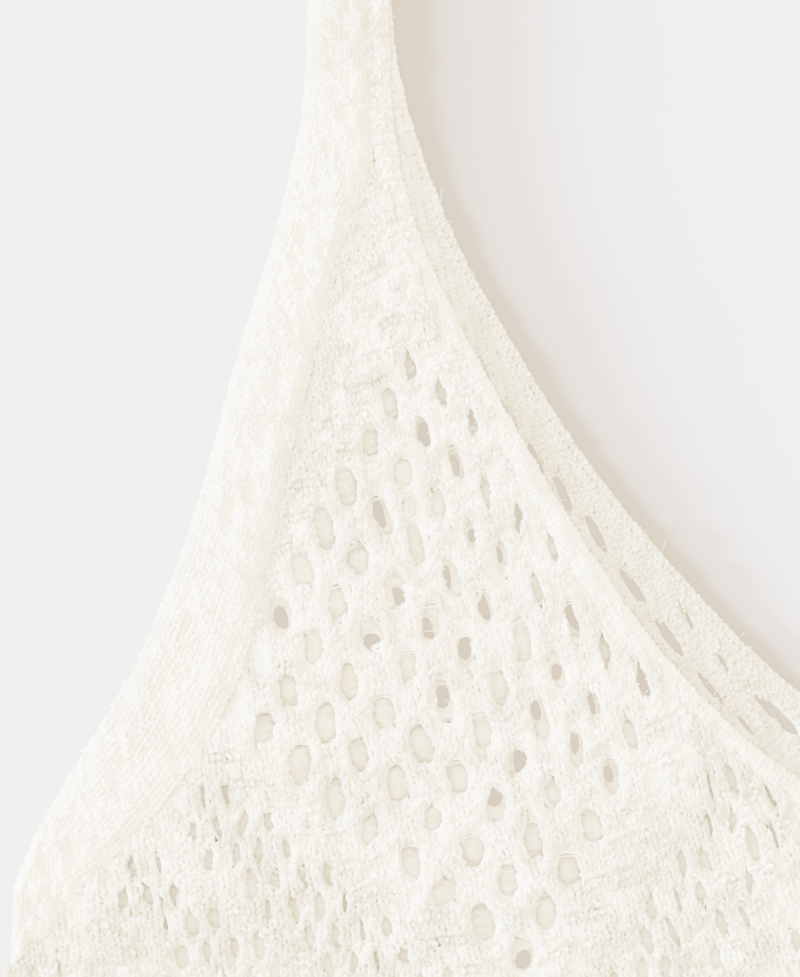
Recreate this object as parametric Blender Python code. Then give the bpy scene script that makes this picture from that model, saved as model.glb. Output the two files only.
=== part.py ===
"""A sleeveless crochet maxi dress, laid flat on its back with its front panel on its back panel.

Metres, +Z up. The dress lies on the plane Z = 0 with its hem towards -Y and its straps towards +Y.
X = 0 is the centre front. Sizes along the dress are drops, measured down from the fold of the straps
at the shoulder, and sizes across it are halves, measured out from the centre front.
"""

import math

import bmesh
import bpy
import numpy as np
from mathutils import Vector
from mathutils.geometry import delaunay_2d_cdt

# ---------------------------------------------------------------- driving sizes
LENGTH = 1.300  # shoulder fold to hem
CLOTH = 0.0018  # thickness of one layer of the knit
LAYER_GAP = 0.0004  # air between the front and the back
SEAM_GAP = 0.0003  # between pieces that are sewn edge to edge
BINDING = 0.0031  # width of the neck binding
CROWN = 0.0004  # how far the middle of a band stands over its edges
BUST_HALF = 0.2072  # half the width at the bust, where the knit has its own gauge

FRONT_BASE = CLOTH + LAYER_GAP  # underside of the front layer
FOLD_AXIS = CLOTH + LAYER_GAP / 2  # height of the line that the straps fold about

# the outer edge: strap, armhole, side seam and hem
OUTLINE = [  # (place, drop, half)
    ("shoulder fold", 0.000, 0.1468),
    ("strap", 0.038, 0.1470),
    ("foot of the strap", 0.062, 0.1488),
    ("upper armhole", 0.086, 0.1544),
    ("armhole", 0.110, 0.1618),
    ("middle armhole", 0.142, 0.1706),
    ("lower armhole", 0.170, 0.1820),
    ("armhole curve", 0.190, 0.1938),
    ("end of the armhole", 0.203, 0.2013),
    ("underarm", 0.214, 0.2056),
    ("bust", 0.240, 0.2072),
    ("under the bust", 0.320, 0.1975),
    ("waist", 0.400, 0.1900),
    ("high hip", 0.500, 0.2040),
    ("hip", 0.620, 0.2220),
    ("thigh", 0.800, 0.2380),
    ("knee", 1.000, 0.2560),
    ("hem", LENGTH, 0.2850),
]

# where each armhole band meets the panel, from the shoulder to the side seam
BAND_EDGE = [  # (place, drop, half)
    ("shoulder fold", 0.000, 0.1346),
    ("strap", 0.038, 0.1347),
    ("foot of the strap", 0.062, 0.1344),
    ("tip of the panel", 0.074, 0.1352),
    ("below the tip", 0.083, 0.1394),
    ("upper armhole", 0.096, 0.1430),
    ("armhole", 0.120, 0.1490),
    ("middle armhole", 0.138, 0.1530),
    ("lower armhole", 0.158, 0.1572),
    ("armhole curve", 0.176, 0.1628),
    ("end of the armhole", 0.196, 0.1750),
    ("underarm", 0.213, 0.1910),
    ("side seam", 0.229, 0.2062),
]

FRONT_NECK = [  # (place, drop, half)
    ("shoulder fold", 0.000, 0.1312),
    ("strap", 0.038, 0.1313),
    ("foot of the strap", 0.062, 0.1304),
    ("neck side", 0.080, 0.1266),
    ("upper neck", 0.098, 0.1190),
    ("middle neck", 0.128, 0.1028),
    ("lower neck", 0.158, 0.0838),
    ("neck curve", 0.178, 0.0668),
    ("front scoop", 0.1926, 0.0490),
    ("bottom of the scoop", 0.2040, 0.0250),
    ("centre front", 0.2080, 0.0000),
]

BACK_NECK = [  # (place, drop, half)
    ("shoulder fold", 0.000, 0.1312),
    ("strap", 0.030, 0.1312),
    ("foot of the strap", 0.052, 0.1291),
    ("neck side", 0.078, 0.1208),
    ("upper neck", 0.098, 0.1108),
    ("middle neck", 0.128, 0.0922),
    ("lower neck", 0.154, 0.0708),
    ("back scoop", 0.1754, 0.0490),
    ("bottom of the scoop", 0.1890, 0.0250),
    ("centre back", 0.1940, 0.0000),
]

# the soft folds that the front takes up as it lies, each a long low ridge
FOLDS = [  # (place, drop at top, half at top, drop at foot, half at foot, half-width, height)
    ("under the left bust", 0.250, -0.150, 0.470, -0.095, 0.013, 0.0020),
    ("right of the waist", 0.330, 0.105, 0.640, 0.070, 0.015, 0.0026),
    ("left of the hip", 0.480, -0.060, 0.930, -0.125, 0.017, 0.0030),
    ("middle of the skirt", 0.640, 0.010, 1.160, 0.035, 0.018, 0.0028),
    ("right of the hip", 0.560, 0.120, 1.020, 0.165, 0.016, 0.0030),
    ("left of the hem", 0.900, -0.185, 1.300, -0.215, 0.018, 0.0034),
    ("inside the left hem", 0.960, -0.060, 1.300, -0.090, 0.016, 0.0032),
    ("inside the right hem", 1.000, 0.090, 1.300, 0.110, 0.018, 0.0034),
    ("right of the hem", 1.040, 0.200, 1.300, 0.225, 0.014, 0.0026),
]

# ---------------------------------------------------------------- the knit and its diamonds
WALE = 0.00195  # width of a stitch
COURSE = 0.00127  # height of a row
MESH_WALES = 6  # the openwork repeats every six stitches
MESH_COURSES = 12  # and every twelve rows, half a repeat along in the middle
DIAMOND_ACROSS = 0.106  # from one column of diamonds to the next
DIAMOND_DOWN = 0.2413  # from one diamond to the next in its column
FIRST_DIAMOND = 0.180  # drop of the first diamond of the columns beside the centre
HOLE_HALF_WIDTH = 0.0024
HOLE_HALF_HEIGHT = 0.0040
HOLE_SHOULDER = 0.45  # how far up a hole its widest place is, as a share of its half height
HOLE_MARGIN = 0.0045  # least cloth between a hole and the panel's edge
# the largest gaps of a diamond, in its middle, as half repeats across and down
CUT_HOLES = [(0, 0), (-1, -1), (1, -1), (-1, 1), (1, 1), (0, -2), (0, 2), (-2, 0), (2, 0)]

# ---------------------------------------------------------------- how finely the shapes are made
OUTLINE_STEP = 0.016
NECK_STEP = 0.0075
GRID_STEP = 0.027
GRID_CLEARANCE = 0.011  # free space round a grid point
FOLD_STEPS = 4  # segments of a strap's turn over the shoulder
LEAN_STEP = 0.002  # grid of the table that places the stitches

COTTON = ("cream cotton knit", (0.90, 0.875, 0.80, 1.0), 0.85)


# ---------------------------------------------------------------- curves through the tables
def smooth_curve(rows, step):
    """Points (half, drop) on a smooth curve through a table's rows, about one step apart."""
    knots = [Vector((half, drop)) for _, drop, half in rows]
    before = knots[0] * 2 - knots[1]
    after = knots[-1] * 2 - knots[-2]
    if knots[-1].x == 0:  # a neckline runs level across the centre front
        after = Vector((-knots[-2].x, knots[-2].y))
    knots = [before, *knots, after]
    points = []
    for a, b, c, d in zip(knots, knots[1:], knots[2:], knots[3:]):
        pieces = max(1, round((c - b).length / step))
        for piece in range(pieces):
            u = piece / pieces
            points.append(
                0.5
                * (
                    2 * b
                    + (c - a) * u
                    + (2 * a - 5 * b + 4 * c - d) * u**2
                    + (3 * b - a - 3 * c + d) * u**3
                )
            )
    return points + [knots[-2]]


def shifted(points, distance):
    """The same curve, moved sideways: a positive distance moves it away from the neck."""
    moved = []
    for index, point in enumerate(points):
        along = points[min(index + 1, len(points) - 1)] - points[max(index - 1, 0)]
        side = Vector((along.y, -along.x)).normalized()
        if point.x == 0:
            side = Vector((0, 1))
        moved.append(point + side * distance)
    return moved


def half_width(drop, edge=tuple(smooth_curve(OUTLINE, OUTLINE_STEP))):
    """Half the width of the laid dress at a drop."""
    return np.interp(drop, [p.y for p in edge], [p.x for p in edge])


# ---------------------------------------------------------------- where a stitch lies
def ramp(low, high, values):
    """0 at low, 1 at high, and a soft step between them."""
    share = np.clip((values - low) / (high - low), 0, 1)
    return share * share * (3 - 2 * share)


def lean(across, down):
    """Slope by which the stitch columns lean out, round the scoop of the neck."""
    yoke = ramp(0.232, 0.200, down) * ramp(0.045, 0.095, down)
    body = 0.15 * ramp(0.175, 0.150, across)
    neck_edge = np.where(down > 0.124, 0.089 - 0.625 * (down - 0.124), 0.089)
    beside_neck = 0.45 * np.exp(-np.clip(across - neck_edge, 0, None) / 0.014)
    return yoke * (body + beside_neck) * ramp(0, 0.03, across)


class Knit:
    """Places the knit: a stitch is known by how far across and down the cloth it was made."""

    def __init__(self):
        self.across = np.arange(0, 0.240, LEAN_STEP)
        self.down = np.arange(0, 0.260, LEAN_STEP)
        slope = lean(*np.meshgrid(self.across, self.down, indexing="ij")) * LEAN_STEP
        self.outward = slope[:, ::-1].cumsum(axis=1)[:, ::-1]
        self.upward = slope[::-1].cumsum(axis=0)[::-1]

    def read(self, table, across, down):
        """A value of one table, between its grid points."""
        i = np.clip(across / LEAN_STEP, 0, len(self.across) - 1.001)
        j = np.clip(down / LEAN_STEP, 0, len(self.down) - 1.001)
        i0, j0 = int(i), int(j)
        u, v = i - i0, j - j0
        near = table[i0, j0] * (1 - v) + table[i0, j0 + 1] * v
        far = table[i0 + 1, j0] * (1 - v) + table[i0 + 1, j0 + 1] * v
        return near * (1 - u) + far * u

    def place(self, across, down):
        """(X, drop) of a stitch, on the side of the centre front that across's sign gives."""
        side = math.copysign(1, across)
        half = abs(across) + self.read(self.outward, abs(across), down)
        drop = down - self.read(self.upward, abs(across), down)
        flare = 1 + (half_width(drop) / BUST_HALF - 1) * ramp(0.24, 0.34, drop)
        return side * half * flare, drop


def inside(point, polygon):
    """Whether a point lies in a closed polygon, by counting the edges to its right."""
    x, y = point
    crossed = False
    for (ax, ay), (bx, by) in zip(polygon, polygon[1:] + polygon[:1]):
        if (ay > y) != (by > y) and x < ax + (y - ay) * (bx - ax) / (by - ay):
            crossed = not crossed
    return crossed


def nearest(point, polygon):
    """Distance from a point to a polygon's edges."""
    p = np.array(point)
    a = np.array(polygon)
    b = np.roll(a, -1, axis=0)
    share = ((p - a) * (b - a)).sum(1) / ((b - a) ** 2).sum(1)
    foot = a + np.clip(share, 0, 1)[:, None] * (b - a)
    return np.sqrt(((p - foot) ** 2).sum(1)).min()


def lace_holes(knit, outline):
    """The gaps to cut: the largest of each diamond, as closed loops of six points."""
    holes = []
    shape = [(0, 1), (1, HOLE_SHOULDER), (1, -HOLE_SHOULDER), (0, -1), (-1, -HOLE_SHOULDER), (-1, HOLE_SHOULDER)]
    for column in range(-2, 3):
        first = FIRST_DIAMOND + (0 if column % 2 else DIAMOND_DOWN / 2)
        for row in range(6):
            for half_across, half_down in CUT_HOLES:
                across = column * DIAMOND_ACROSS + half_across * MESH_WALES / 2 * WALE
                down = first + row * DIAMOND_DOWN + half_down * MESH_COURSES / 2 * COURSE
                centre = knit.place(across, down)
                if not inside(centre, outline):
                    continue
                loop = [
                    knit.place(across + u * HOLE_HALF_WIDTH, down + v * HOLE_HALF_HEIGHT)
                    for u, v in shape
                ]
                if min(nearest(p, outline) for p in loop) > HOLE_MARGIN and all(
                    inside(p, outline) for p in loop
                ):
                    holes.append(loop)
    return holes


# ---------------------------------------------------------------- the height of the front layer
def lift(x, drop):
    """How far the front layer rises off the back one, in its folds."""
    height = 0.0
    for _, top, top_half, foot, foot_half, width, rise in FOLDS:
        share = (drop - top) / (foot - top)
        if not 0 < share <= 1.0001:
            continue
        middle = top_half + (foot_half - top_half) * share
        fade = ramp(0, 0.3, share) * (ramp(1, 0.7, share) if foot < LENGTH else 1)
        height = max(height, rise * float(fade) * math.exp(-(((x - middle) / width) ** 2)))
    edge = half_width(drop) - abs(x)
    return height * float(ramp(0.0, 0.03, edge))


# ---------------------------------------------------------------- solids
def cotton():
    """The dress's one material: matt cream cotton."""
    name, colour, roughness = COTTON
    material = bpy.data.materials.get(name) or bpy.data.materials.new(name)
    material.use_nodes = True
    shader = material.node_tree.nodes["Principled BSDF"]
    shader.inputs["Base Color"].default_value = colour
    shader.inputs["Roughness"].default_value = roughness
    shader.inputs["Metallic"].default_value = 0.0
    return material


def finished(name, bm):
    """Makes an object of a bmesh, with its faces pointing out."""
    bmesh.ops.recalc_face_normals(bm, faces=bm.faces)
    mesh = bpy.data.meshes.new(name)
    bm.to_mesh(mesh)
    bm.free()
    mesh.materials.append(cotton())
    obj = bpy.data.objects.new(name, mesh)
    bpy.context.scene.collection.objects.link(obj)
    return obj


def to_frame(point, height):
    """A point (X, drop) as X, Y, Z with Y = 0 half way down the dress."""
    return Vector((point[0], LENGTH / 2 - point[1], height))


def panel_outline(neck, band):
    """A panel's edge: hem, right side, armhole, neckline and the same on the left."""
    side = [p for p in smooth_curve(OUTLINE, OUTLINE_STEP) if p.y > BAND_EDGE[-1][1] + 0.004]
    armhole = shifted(smooth_curve(band, OUTLINE_STEP / 2), -SEAM_GAP)
    scoop = shifted(smooth_curve(neck, NECK_STEP), BINDING + SEAM_GAP)
    while (armhole[0].x - np.interp(armhole[0].y, [p.y for p in scoop], [p.x for p in scoop])) < 0.0012:
        armhole.pop(0)
    scoop = [p for p in scoop if p.y > armhole[0].y + 0.001]
    right = side[::-1] + armhole[::-1] + scoop
    hem_half = side[-1].x
    pieces = round(2 * hem_half / OUTLINE_STEP)
    hem = [(-hem_half + 2 * hem_half * i / pieces, LENGTH) for i in range(1, pieces)]
    left = [(-p.x, p.y) for p in right[::-1] if p.x > 0]
    return hem + [(p.x, p.y) for p in right] + left


def lace_panel(name, neck, base, height):
    """A panel: its outline and gaps filled with triangles, then given the cloth's thickness."""
    outline = panel_outline(neck, BAND_EDGE)
    holes = lace_holes(Knit(), outline)
    points = list(outline)
    edges = [(i, (i + 1) % len(outline)) for i in range(len(outline))]
    hole_of = {}
    for number, loop in enumerate(holes):
        start = len(points)
        points += loop
        edges += [(start + i, start + (i + 1) % len(loop)) for i in range(len(loop))]
        hole_of.update({start + i: number for i in range(len(loop))})
    if height is not flat:
        points += grid_points(outline, holes)
    made, _, faces, origin, _, _ = delaunay_2d_cdt(
        [Vector(p) for p in points], edges, [], 0, 1e-6, True
    )
    bm = bmesh.new()
    verts = [bm.verts.new(to_frame(p, base + height(p.x, p.y))) for p in made]
    hole = [hole_of.get(ids[0]) if ids else None for ids in origin]
    for face in faces:
        in_hole = hole[face[0]] is not None and len({hole[i] for i in face}) == 1
        middle = sum((made[i] for i in face), Vector((0, 0))) / 3
        if not in_hole and inside(middle, outline):
            bm.faces.new([verts[i] for i in face])
    bmesh.ops.delete(bm, geom=[v for v in bm.verts if not v.link_faces], context="VERTS")
    upper = bmesh.ops.extrude_face_region(bm, geom=bm.faces[:])["geom"]
    bmesh.ops.translate(
        bm, verts=[v for v in upper if isinstance(v, bmesh.types.BMVert)], vec=(0, 0, CLOTH)
    )
    print(name, len(holes), "gaps cut")
    return finished(name, bm)


def grid_points(outline, holes):
    """Points inside a panel, in staggered rows, that let its surface follow its folds."""
    found = []
    corners = np.array([p for loop in holes for p in loop])
    for row in range(int(LENGTH / GRID_STEP) + 1):
        drop = (row + 0.5) * GRID_STEP
        for column in range(-12, 13):
            point = ((column + 0.5 * (row % 2)) * GRID_STEP, drop)
            if not inside(point, outline) or nearest(point, outline) < GRID_CLEARANCE:
                continue
            if np.hypot(*(corners - point).T).min() > GRID_CLEARANCE:
                found.append(point)
    return found


def flat(_x, _drop):
    """The back layer lies flat."""
    return 0.0


def strip(name, sections, closed):
    """A band of cloth: sections of corner points in order, skinned, with plain ends unless closed."""
    bm = bmesh.new()
    rings = [[bm.verts.new(corner) for corner in section] for section in sections]
    following = rings[1:] + rings[:1] if closed else rings[1:]
    for ring, after in zip(rings, following):
        for i in range(len(ring)):
            j = (i + 1) % len(ring)
            bm.faces.new([ring[i], ring[j], after[j], after[i]])
    if not closed:
        bm.faces.new(rings[0])
        bm.faces.new(rings[-1])
    return finished(name, bm)


def layer_section(outer, inner, underside, top):
    """A band's section in one layer: its outer face first, crowned in its middle."""
    middle = (Vector(outer) + Vector(inner)) / 2
    crown = CROWN if top > underside else -CROWN
    return [
        to_frame(outer, top),
        to_frame(middle, top + (crown if top > underside else 0)),
        to_frame(inner, top),
        to_frame(inner, underside),
        to_frame(outer, underside),
    ]


def shoulder_section(outer_x, inner_x, turn):
    """A band's section part way round the shoulder fold; turn is 0 on the front and pi on the back."""
    up, over = math.cos(turn), math.sin(turn)
    near, far = LAYER_GAP / 2, FOLD_AXIS
    return [
        Vector((x, LENGTH / 2 + over * radius, FOLD_AXIS + up * radius))
        for x, radius in (
            (outer_x, far),
            ((outer_x + inner_x) / 2, far + CROWN * max(up, 0) ** 2),
            (inner_x, far),
            (inner_x, near),
            (outer_x, near),
        )
    ]


def band_sections(outer, inner, side):
    """Sections of a band from its front end, over the shoulder, to its back end."""
    front, back = [], []
    for edge, seam in zip(outer, inner):
        a, b = (side * edge.x, edge.y), (side * seam.x, seam.y)
        front.append(layer_section(a, b, FRONT_BASE, FRONT_BASE + CLOTH))
        back.append(layer_section(a, b, CLOTH, 0.0))
    turns = [math.pi * i / FOLD_STEPS for i in range(1, FOLD_STEPS)]
    over = [shoulder_section(side * outer[0].x, side * inner[0].x, turn) for turn in turns]
    return front[::-1] + over + back


def resampled(points, count):
    """A curve's points, spread evenly along it."""
    coords = np.array(points)
    run = np.concatenate([[0], np.hypot(*np.diff(coords, axis=0).T).cumsum()])
    at = np.linspace(0, run[-1], count)
    return [
        Vector((float(np.interp(d, run, coords[:, 0])), float(np.interp(d, run, coords[:, 1]))))
        for d in at
    ]


def armhole_band(name, side):
    """The plain band that edges an armhole and goes on over the shoulder as the strap."""
    outer_rows = [row for row in OUTLINE if row[1] <= 0.214]
    outer = resampled(smooth_curve(outer_rows, 0.004), 30)
    inner = resampled(smooth_curve(BAND_EDGE, 0.004), 30)
    return strip(name, band_sections(outer, inner, side), closed=False)


def neck_binding(name):
    """The narrow binding round the neck: front scoop, over one shoulder, back scoop, over the other."""
    halves = []
    for neck in (FRONT_NECK, BACK_NECK):
        edge = smooth_curve(neck, NECK_STEP)
        halves.append((edge, shifted(edge, BINDING)))
    (front, front_seam), (back, back_seam) = halves
    turns = [math.pi * i / FOLD_STEPS for i in range(1, FOLD_STEPS)]

    def layer(edge, seam, side, underside, top):
        return [
            layer_section((side * a.x, a.y), (side * b.x, b.y), underside, top)
            for a, b in zip(edge, seam)
        ]

    def over(side, turns):
        return [shoulder_section(side * front[0].x, side * front_seam[0].x, t) for t in turns]

    sections = layer(front, front_seam, 1, FRONT_BASE, FRONT_BASE + CLOTH)[::-1]
    sections += over(1, turns) + layer(back, back_seam, 1, CLOTH, 0.0)
    sections += layer(back, back_seam, -1, CLOTH, 0.0)[-2::-1] + over(-1, turns[::-1])
    sections += layer(front, front_seam, -1, FRONT_BASE, FRONT_BASE + CLOTH)[:-1]
    return strip(name, sections, closed=True)


def main():
    for old in list(bpy.data.objects):
        bpy.data.objects.remove(old)
    lace_panel("front_panel", FRONT_NECK, FRONT_BASE, lift)
    lace_panel("back_panel", BACK_NECK, 0.0, flat)
    armhole_band("left_armhole_band", -1)
    armhole_band("right_armhole_band", 1)
    neck_binding("neck_binding")


main()
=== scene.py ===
"""The looks of a knitted lace maxi dress that lies flat on a pale floor, seen from straight above.

Lengths are in millimetres until a mesh is made. A place on the laid dress is its side and drop: how
far right of the centre front it lies, and how far below the shoulder fold. A half is a side without
its sign. A stitch is known by its across and down: where it would lie if the knit were not drawn out
round the neck and widened towards the hem.
"""

import math

import bpy
import numpy as np
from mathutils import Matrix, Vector
from mathutils.geometry import delaunay_2d_cdt


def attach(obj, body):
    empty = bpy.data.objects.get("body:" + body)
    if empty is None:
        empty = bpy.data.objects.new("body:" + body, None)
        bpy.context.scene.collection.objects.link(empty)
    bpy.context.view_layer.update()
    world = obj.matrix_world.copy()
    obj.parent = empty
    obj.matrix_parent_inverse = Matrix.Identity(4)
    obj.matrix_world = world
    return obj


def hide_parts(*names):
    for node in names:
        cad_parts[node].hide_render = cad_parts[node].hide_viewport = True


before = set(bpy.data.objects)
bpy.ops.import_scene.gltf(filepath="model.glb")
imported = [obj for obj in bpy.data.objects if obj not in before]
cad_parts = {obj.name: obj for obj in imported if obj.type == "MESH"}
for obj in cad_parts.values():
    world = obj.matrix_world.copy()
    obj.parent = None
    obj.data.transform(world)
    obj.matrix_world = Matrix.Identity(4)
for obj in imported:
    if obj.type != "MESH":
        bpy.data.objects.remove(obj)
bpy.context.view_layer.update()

MM = 0.001
SEED = 11

# ---------------------------------------------------------------- the cut of the dress
LENGTH = 1300.0  # shoulder fold to hem
CLOTH = 1.8  # thickness of one layer
LAYER_GAP = 0.4  # air between the two layers
FRONT_BASE = CLOTH + LAYER_GAP  # height of the front layer's underside
FOLD_AXIS = CLOTH + LAYER_GAP / 2  # height of the line that the straps turn round
BUST_HALF = 207.2
BINDING = 3.1  # width of the neck binding
PANEL_TIP = 70.0  # the straps have no panel above this drop
UNDERARM = 214.0  # drop at which the armholes end

OUTLINE = [  # (place, drop, half)
    ("shoulder fold", 0.0, 146.8),
    ("strap", 38.0, 147.0),
    ("foot of the strap", 62.0, 148.8),
    ("upper armhole", 86.0, 154.4),
    ("armhole", 110.0, 161.8),
    ("middle armhole", 142.0, 170.6),
    ("lower armhole", 170.0, 182.0),
    ("armhole curve", 190.0, 193.8),
    ("end of the armhole", 203.0, 201.3),
    ("underarm", UNDERARM, 205.6),
    ("bust", 240.0, BUST_HALF),
    ("under the bust", 320.0, 197.5),
    ("waist", 400.0, 190.0),
    ("high hip", 500.0, 204.0),
    ("hip", 620.0, 222.0),
    ("thigh", 800.0, 238.0),
    ("knee", 1000.0, 256.0),
    ("hem", LENGTH, 285.0),
]
BAND_EDGE = [  # where an armhole band meets the panel
    ("shoulder fold", 0.0, 134.6),
    ("strap", 38.0, 134.7),
    ("foot of the strap", 62.0, 134.4),
    ("tip of the panel", 74.0, 135.2),
    ("below the tip", 83.0, 139.4),
    ("upper armhole", 96.0, 143.0),
    ("armhole", 120.0, 149.0),
    ("middle armhole", 138.0, 153.0),
    ("lower armhole", 158.0, 157.2),
    ("armhole curve", 176.0, 162.8),
    ("end of the armhole", 196.0, 175.0),
    ("underarm", 213.0, 191.0),
    ("side seam", 229.0, 206.2),
]
FRONT_NECK = [
    ("shoulder fold", 0.0, 131.2),
    ("strap", 38.0, 131.3),
    ("foot of the strap", 62.0, 130.4),
    ("neck side", 80.0, 126.6),
    ("upper neck", 98.0, 119.0),
    ("middle neck", 128.0, 102.8),
    ("lower neck", 158.0, 83.8),
    ("neck curve", 178.0, 66.8),
    ("front scoop", 192.6, 49.0),
    ("bottom of the scoop", 204.0, 25.0),
    ("centre front", 208.0, 0.0),
]
BACK_NECK = [
    ("shoulder fold", 0.0, 131.2),
    ("strap", 30.0, 131.2),
    ("foot of the strap", 52.0, 129.1),
    ("neck side", 78.0, 120.8),
    ("upper neck", 98.0, 110.8),
    ("middle neck", 128.0, 92.2),
    ("lower neck", 154.0, 70.8),
    ("back scoop", 175.4, 49.0),
    ("bottom of the scoop", 189.0, 25.0),
    ("centre back", 194.0, 0.0),
]
FOLDS = [  # (place, drop and side at the top, drop and side at the foot, half-width, height)
    ("under the left bust", 250, -150, 470, -95, 13, 2.0),
    ("right of the waist", 330, 105, 640, 70, 15, 2.6),
    ("left of the hip", 480, -60, 930, -125, 17, 3.0),
    ("middle of the skirt", 640, 10, 1160, 35, 18, 2.8),
    ("right of the hip", 560, 120, 1020, 165, 16, 3.0),
    ("left of the hem", 900, -185, 1300, -215, 18, 3.4),
    ("inside the left hem", 960, -60, 1300, -90, 16, 3.2),
    ("inside the right hem", 1000, 90, 1300, 110, 18, 3.4),
    ("right of the hem", 1040, 200, 1300, 225, 14, 2.6),
]
FOLD_FADE = 0.3  # share of its length over which a fold rises, and sinks again if it ends above the hem
SIDE_FADE = 30.0  # the folds die away this far from the side seams
HAND_WAVES = [  # slow waves of the cloth: (height, run to the side and down in a radian, start)
    (0.22, 17.0, 31.0, 0.0),
    (0.22, -41.0, 23.0, 1.3),
    (0.16, 7.3, -12.1, 0.6),
]

# ---------------------------------------------------------------- the knit
WALE = 2.247  # width of a stitch as it was made
COURSE = 1.225  # height of a row
LEAN = [  # how the stitch columns lean out at the neck's edge: (drop, wide slope, extra at the edge)
    (60, 0.12, 0.10),
    (100, 0.20, 0.16),
    (130, 0.26, 0.04),
    (155, 0.275, 0.19),
    (180, 0.267, 0.27),
    (205, 0.284, 0.246),
    (240, 0.331, 0.20),
    (300, 0.00, 0.00),
]
LEAN_REACH = 112.0  # how far from the neck the wide slope is felt
EDGE_REACH = 13.0  # and the extra at the edge
CENTRE_CALM = 30.0  # no lean at the centre front, and all of it this far out
DRAWN_DROP = 330.0  # the stitches aren't drawn aside below this drop
GRID = 2.0  # step of the tables of where stitches lie
GRID_SIZE = (262.0, 342.0)  # how far out and down the tables go
SETTLING = (60, 0.4)  # rounds in which the tables settle, and how far they go in each
FLARE_START = (240.0, 340.0)  # drops between which the knit starts to lie wider or narrower than made

# ---------------------------------------------------------------- the lace
FIRST_COLUMN = 97.86  # across of the diamonds that lie beside the scoop
COLUMN_PITCH = 52 * WALE
DIAMOND_DROP = 185.85  # down of the first diamond in that column
DIAMOND_PITCH = 182 * COURSE
SIDE_COLUMNS = 2  # columns of diamonds on each side of the centre front's
DIAMONDS_DOWN = 7
NET_STEP = (3, 6)  # half repeats of the big net, in stitches and rows
NET_EDGE = 24.5  # the net ends this many stitches from the diamond's middle
NET_COUNT = 8  # steps each way from that middle that are tried
NET_UNEVEN = (0.4, 0.78, 1.14)  # how far its gaps lie out of place, and their least and most size
EYELET_STEP = (2.4, 5)
EYELET_COUNT = 18
EYELET_UNEVEN = (0.3, 0.8, 1.15)
EYELET_BANDS = [(31.5, 41.0), (44.0, 52.0)]
INNER_BAND = 35.6  # where the first band starts on the side of the centre front
EVEN_BAND = 36.0  # where it ends round the diamonds of the even columns
BAND_OVERLAP = 6.0  # the second band may come this many stitches nearer to another diamond than to its own
RIDGE_RISE = 0.35  # the purl ridges stand this much higher
RIDGE_BANDS = [(26.0, 31.0), (41.5, 43.5)]
RIDGE_EVERY = 5  # rows from one ridge to the next
NET_GAP = (2.45, 3.9)  # half width and half height of a gap in the net
EYELET_GAP = (1.02, 2.8)
GAP_LEAN = 0.17  # how far a gap leans at most, across for each millimetre down
GAP_BEND = 0.36  # and how far it bends, in half widths
GAP_CORE = 0.5  # no stitch starts nearer a gap's middle than this share of its size
CLOSE_TIP = 126.0  # no eyelets above this drop
CLOSED_TIP = 119.0  # and nothing to be seen through both layers above this one
NECK_PULL = (0.5, 6.0, 36.0)  # gaps narrow to this share near the neck, from one distance to the other
BACK_DRIFT = 3.0  # stitches between the front's lace and the back's where no gap lies over another
BEHIND_OPEN = (0.74, 0.12)  # share of the gaps with the floor seen through both layers: by the neck, far off
BEHIND_REACH = (24.0, 58.0)  # distances from the neck between which that share falls
BEHIND_SHIFT = (0.8, 1.8)  # how far the back's gap lies out of place there, across and down
BEHIND_SIZE = [(0.5, 0.95, 0.3), (0.4, 0.95, 0.2)]  # for width and height: least, most, added by the neck
BEHIND_WIDER = (24.0, 6.0)  # distances from the neck between which that is added
CLOSED_SIZE = 0.9  # size of the back's other gaps
BACK_UNEVEN = (0.3, 0.9, 1.0)
SLIT_ROOM = (4.5, 5.0)  # how far the back's gaps keep from the slits by its edge, across and down
NECK_ROOM = 2.5  # and from the front's neck
GAP_FULLNESS = 2.25  # 2 is an oval, more has fuller corners
GAP_SHAPE = [  # corners on a gap's edge, in half widths and half heights from its middle
    (0, 1),
    (0.64, 0.82),
    (0.97, 0.33),
    (0.96, -0.38),
    (0.6, -0.85),
    (-0.1, -1),
    (-0.71, -0.76),
    (-1, 0),
    (-0.76, 0.72),
]
PLAIN_SHAPE = [(0.2, 1), (1, -0.3), (-0.2, -1), (-1, 0.3)]  # small gaps out of the picture

# ---------------------------------------------------------------- the yarn
YARN = 0.63  # radius of the yarn
YARN_UNEVEN = 0.12  # share by which it is thicker or thinner, from stitch to stitch and along each
LOOP_STEPS = 10
LOOP_MIDDLE = LOOP_STEPS // 2
LOOP_SWING = 0.23  # how far a loop's neck narrows, in stitches
LOOP_REACH = 0.86  # half the height of a loop, in rows
LOOP_DEPTH = 0.42  # how far its legs stand in front of its head
LOOSE = 0.12  # how far whole loops lie out of place
LOOSE_HEIGHT = 1.3  # in height, they lie this many times as far out
LEAST_UNEVEN = 0.4  # share of the unevenness that the most even stitches have
EDGE_RAGGED = 0.25  # how ragged bands and edges are, the front's stitches being 1
STRIP_RAGGED = 0.2
EASE = 0.16  # share by which the gaps draw some loops further than others
WAVERS = [  # unevenness of the loops: (of what, how much, changes in a stitch, changes in a row, start)
    ("along", 0.17, 1.1, 0.9, 0),
    ("up", 0.36, 1.1, 0.9, 31),
    ("height", 0.26, 0.9, 0.7, 0),
    ("across", 0.34, 1.7, 1.1, 7),
    ("down", 0.34, 1.7, 1.1, 7),
    ("slow", 1.0, 0.55, 0.33, 0),
    ("slower", 1.0, 0.24, 0.15, 0),
]
SLOW_HEIGHT = 0.4  # how far the slow unevenness lifts the loops
TONES = (0.5, 0.75, 0.6, 0.28)  # a loop's tone: its middle, and how much is slow, slower and each loop's own
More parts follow.
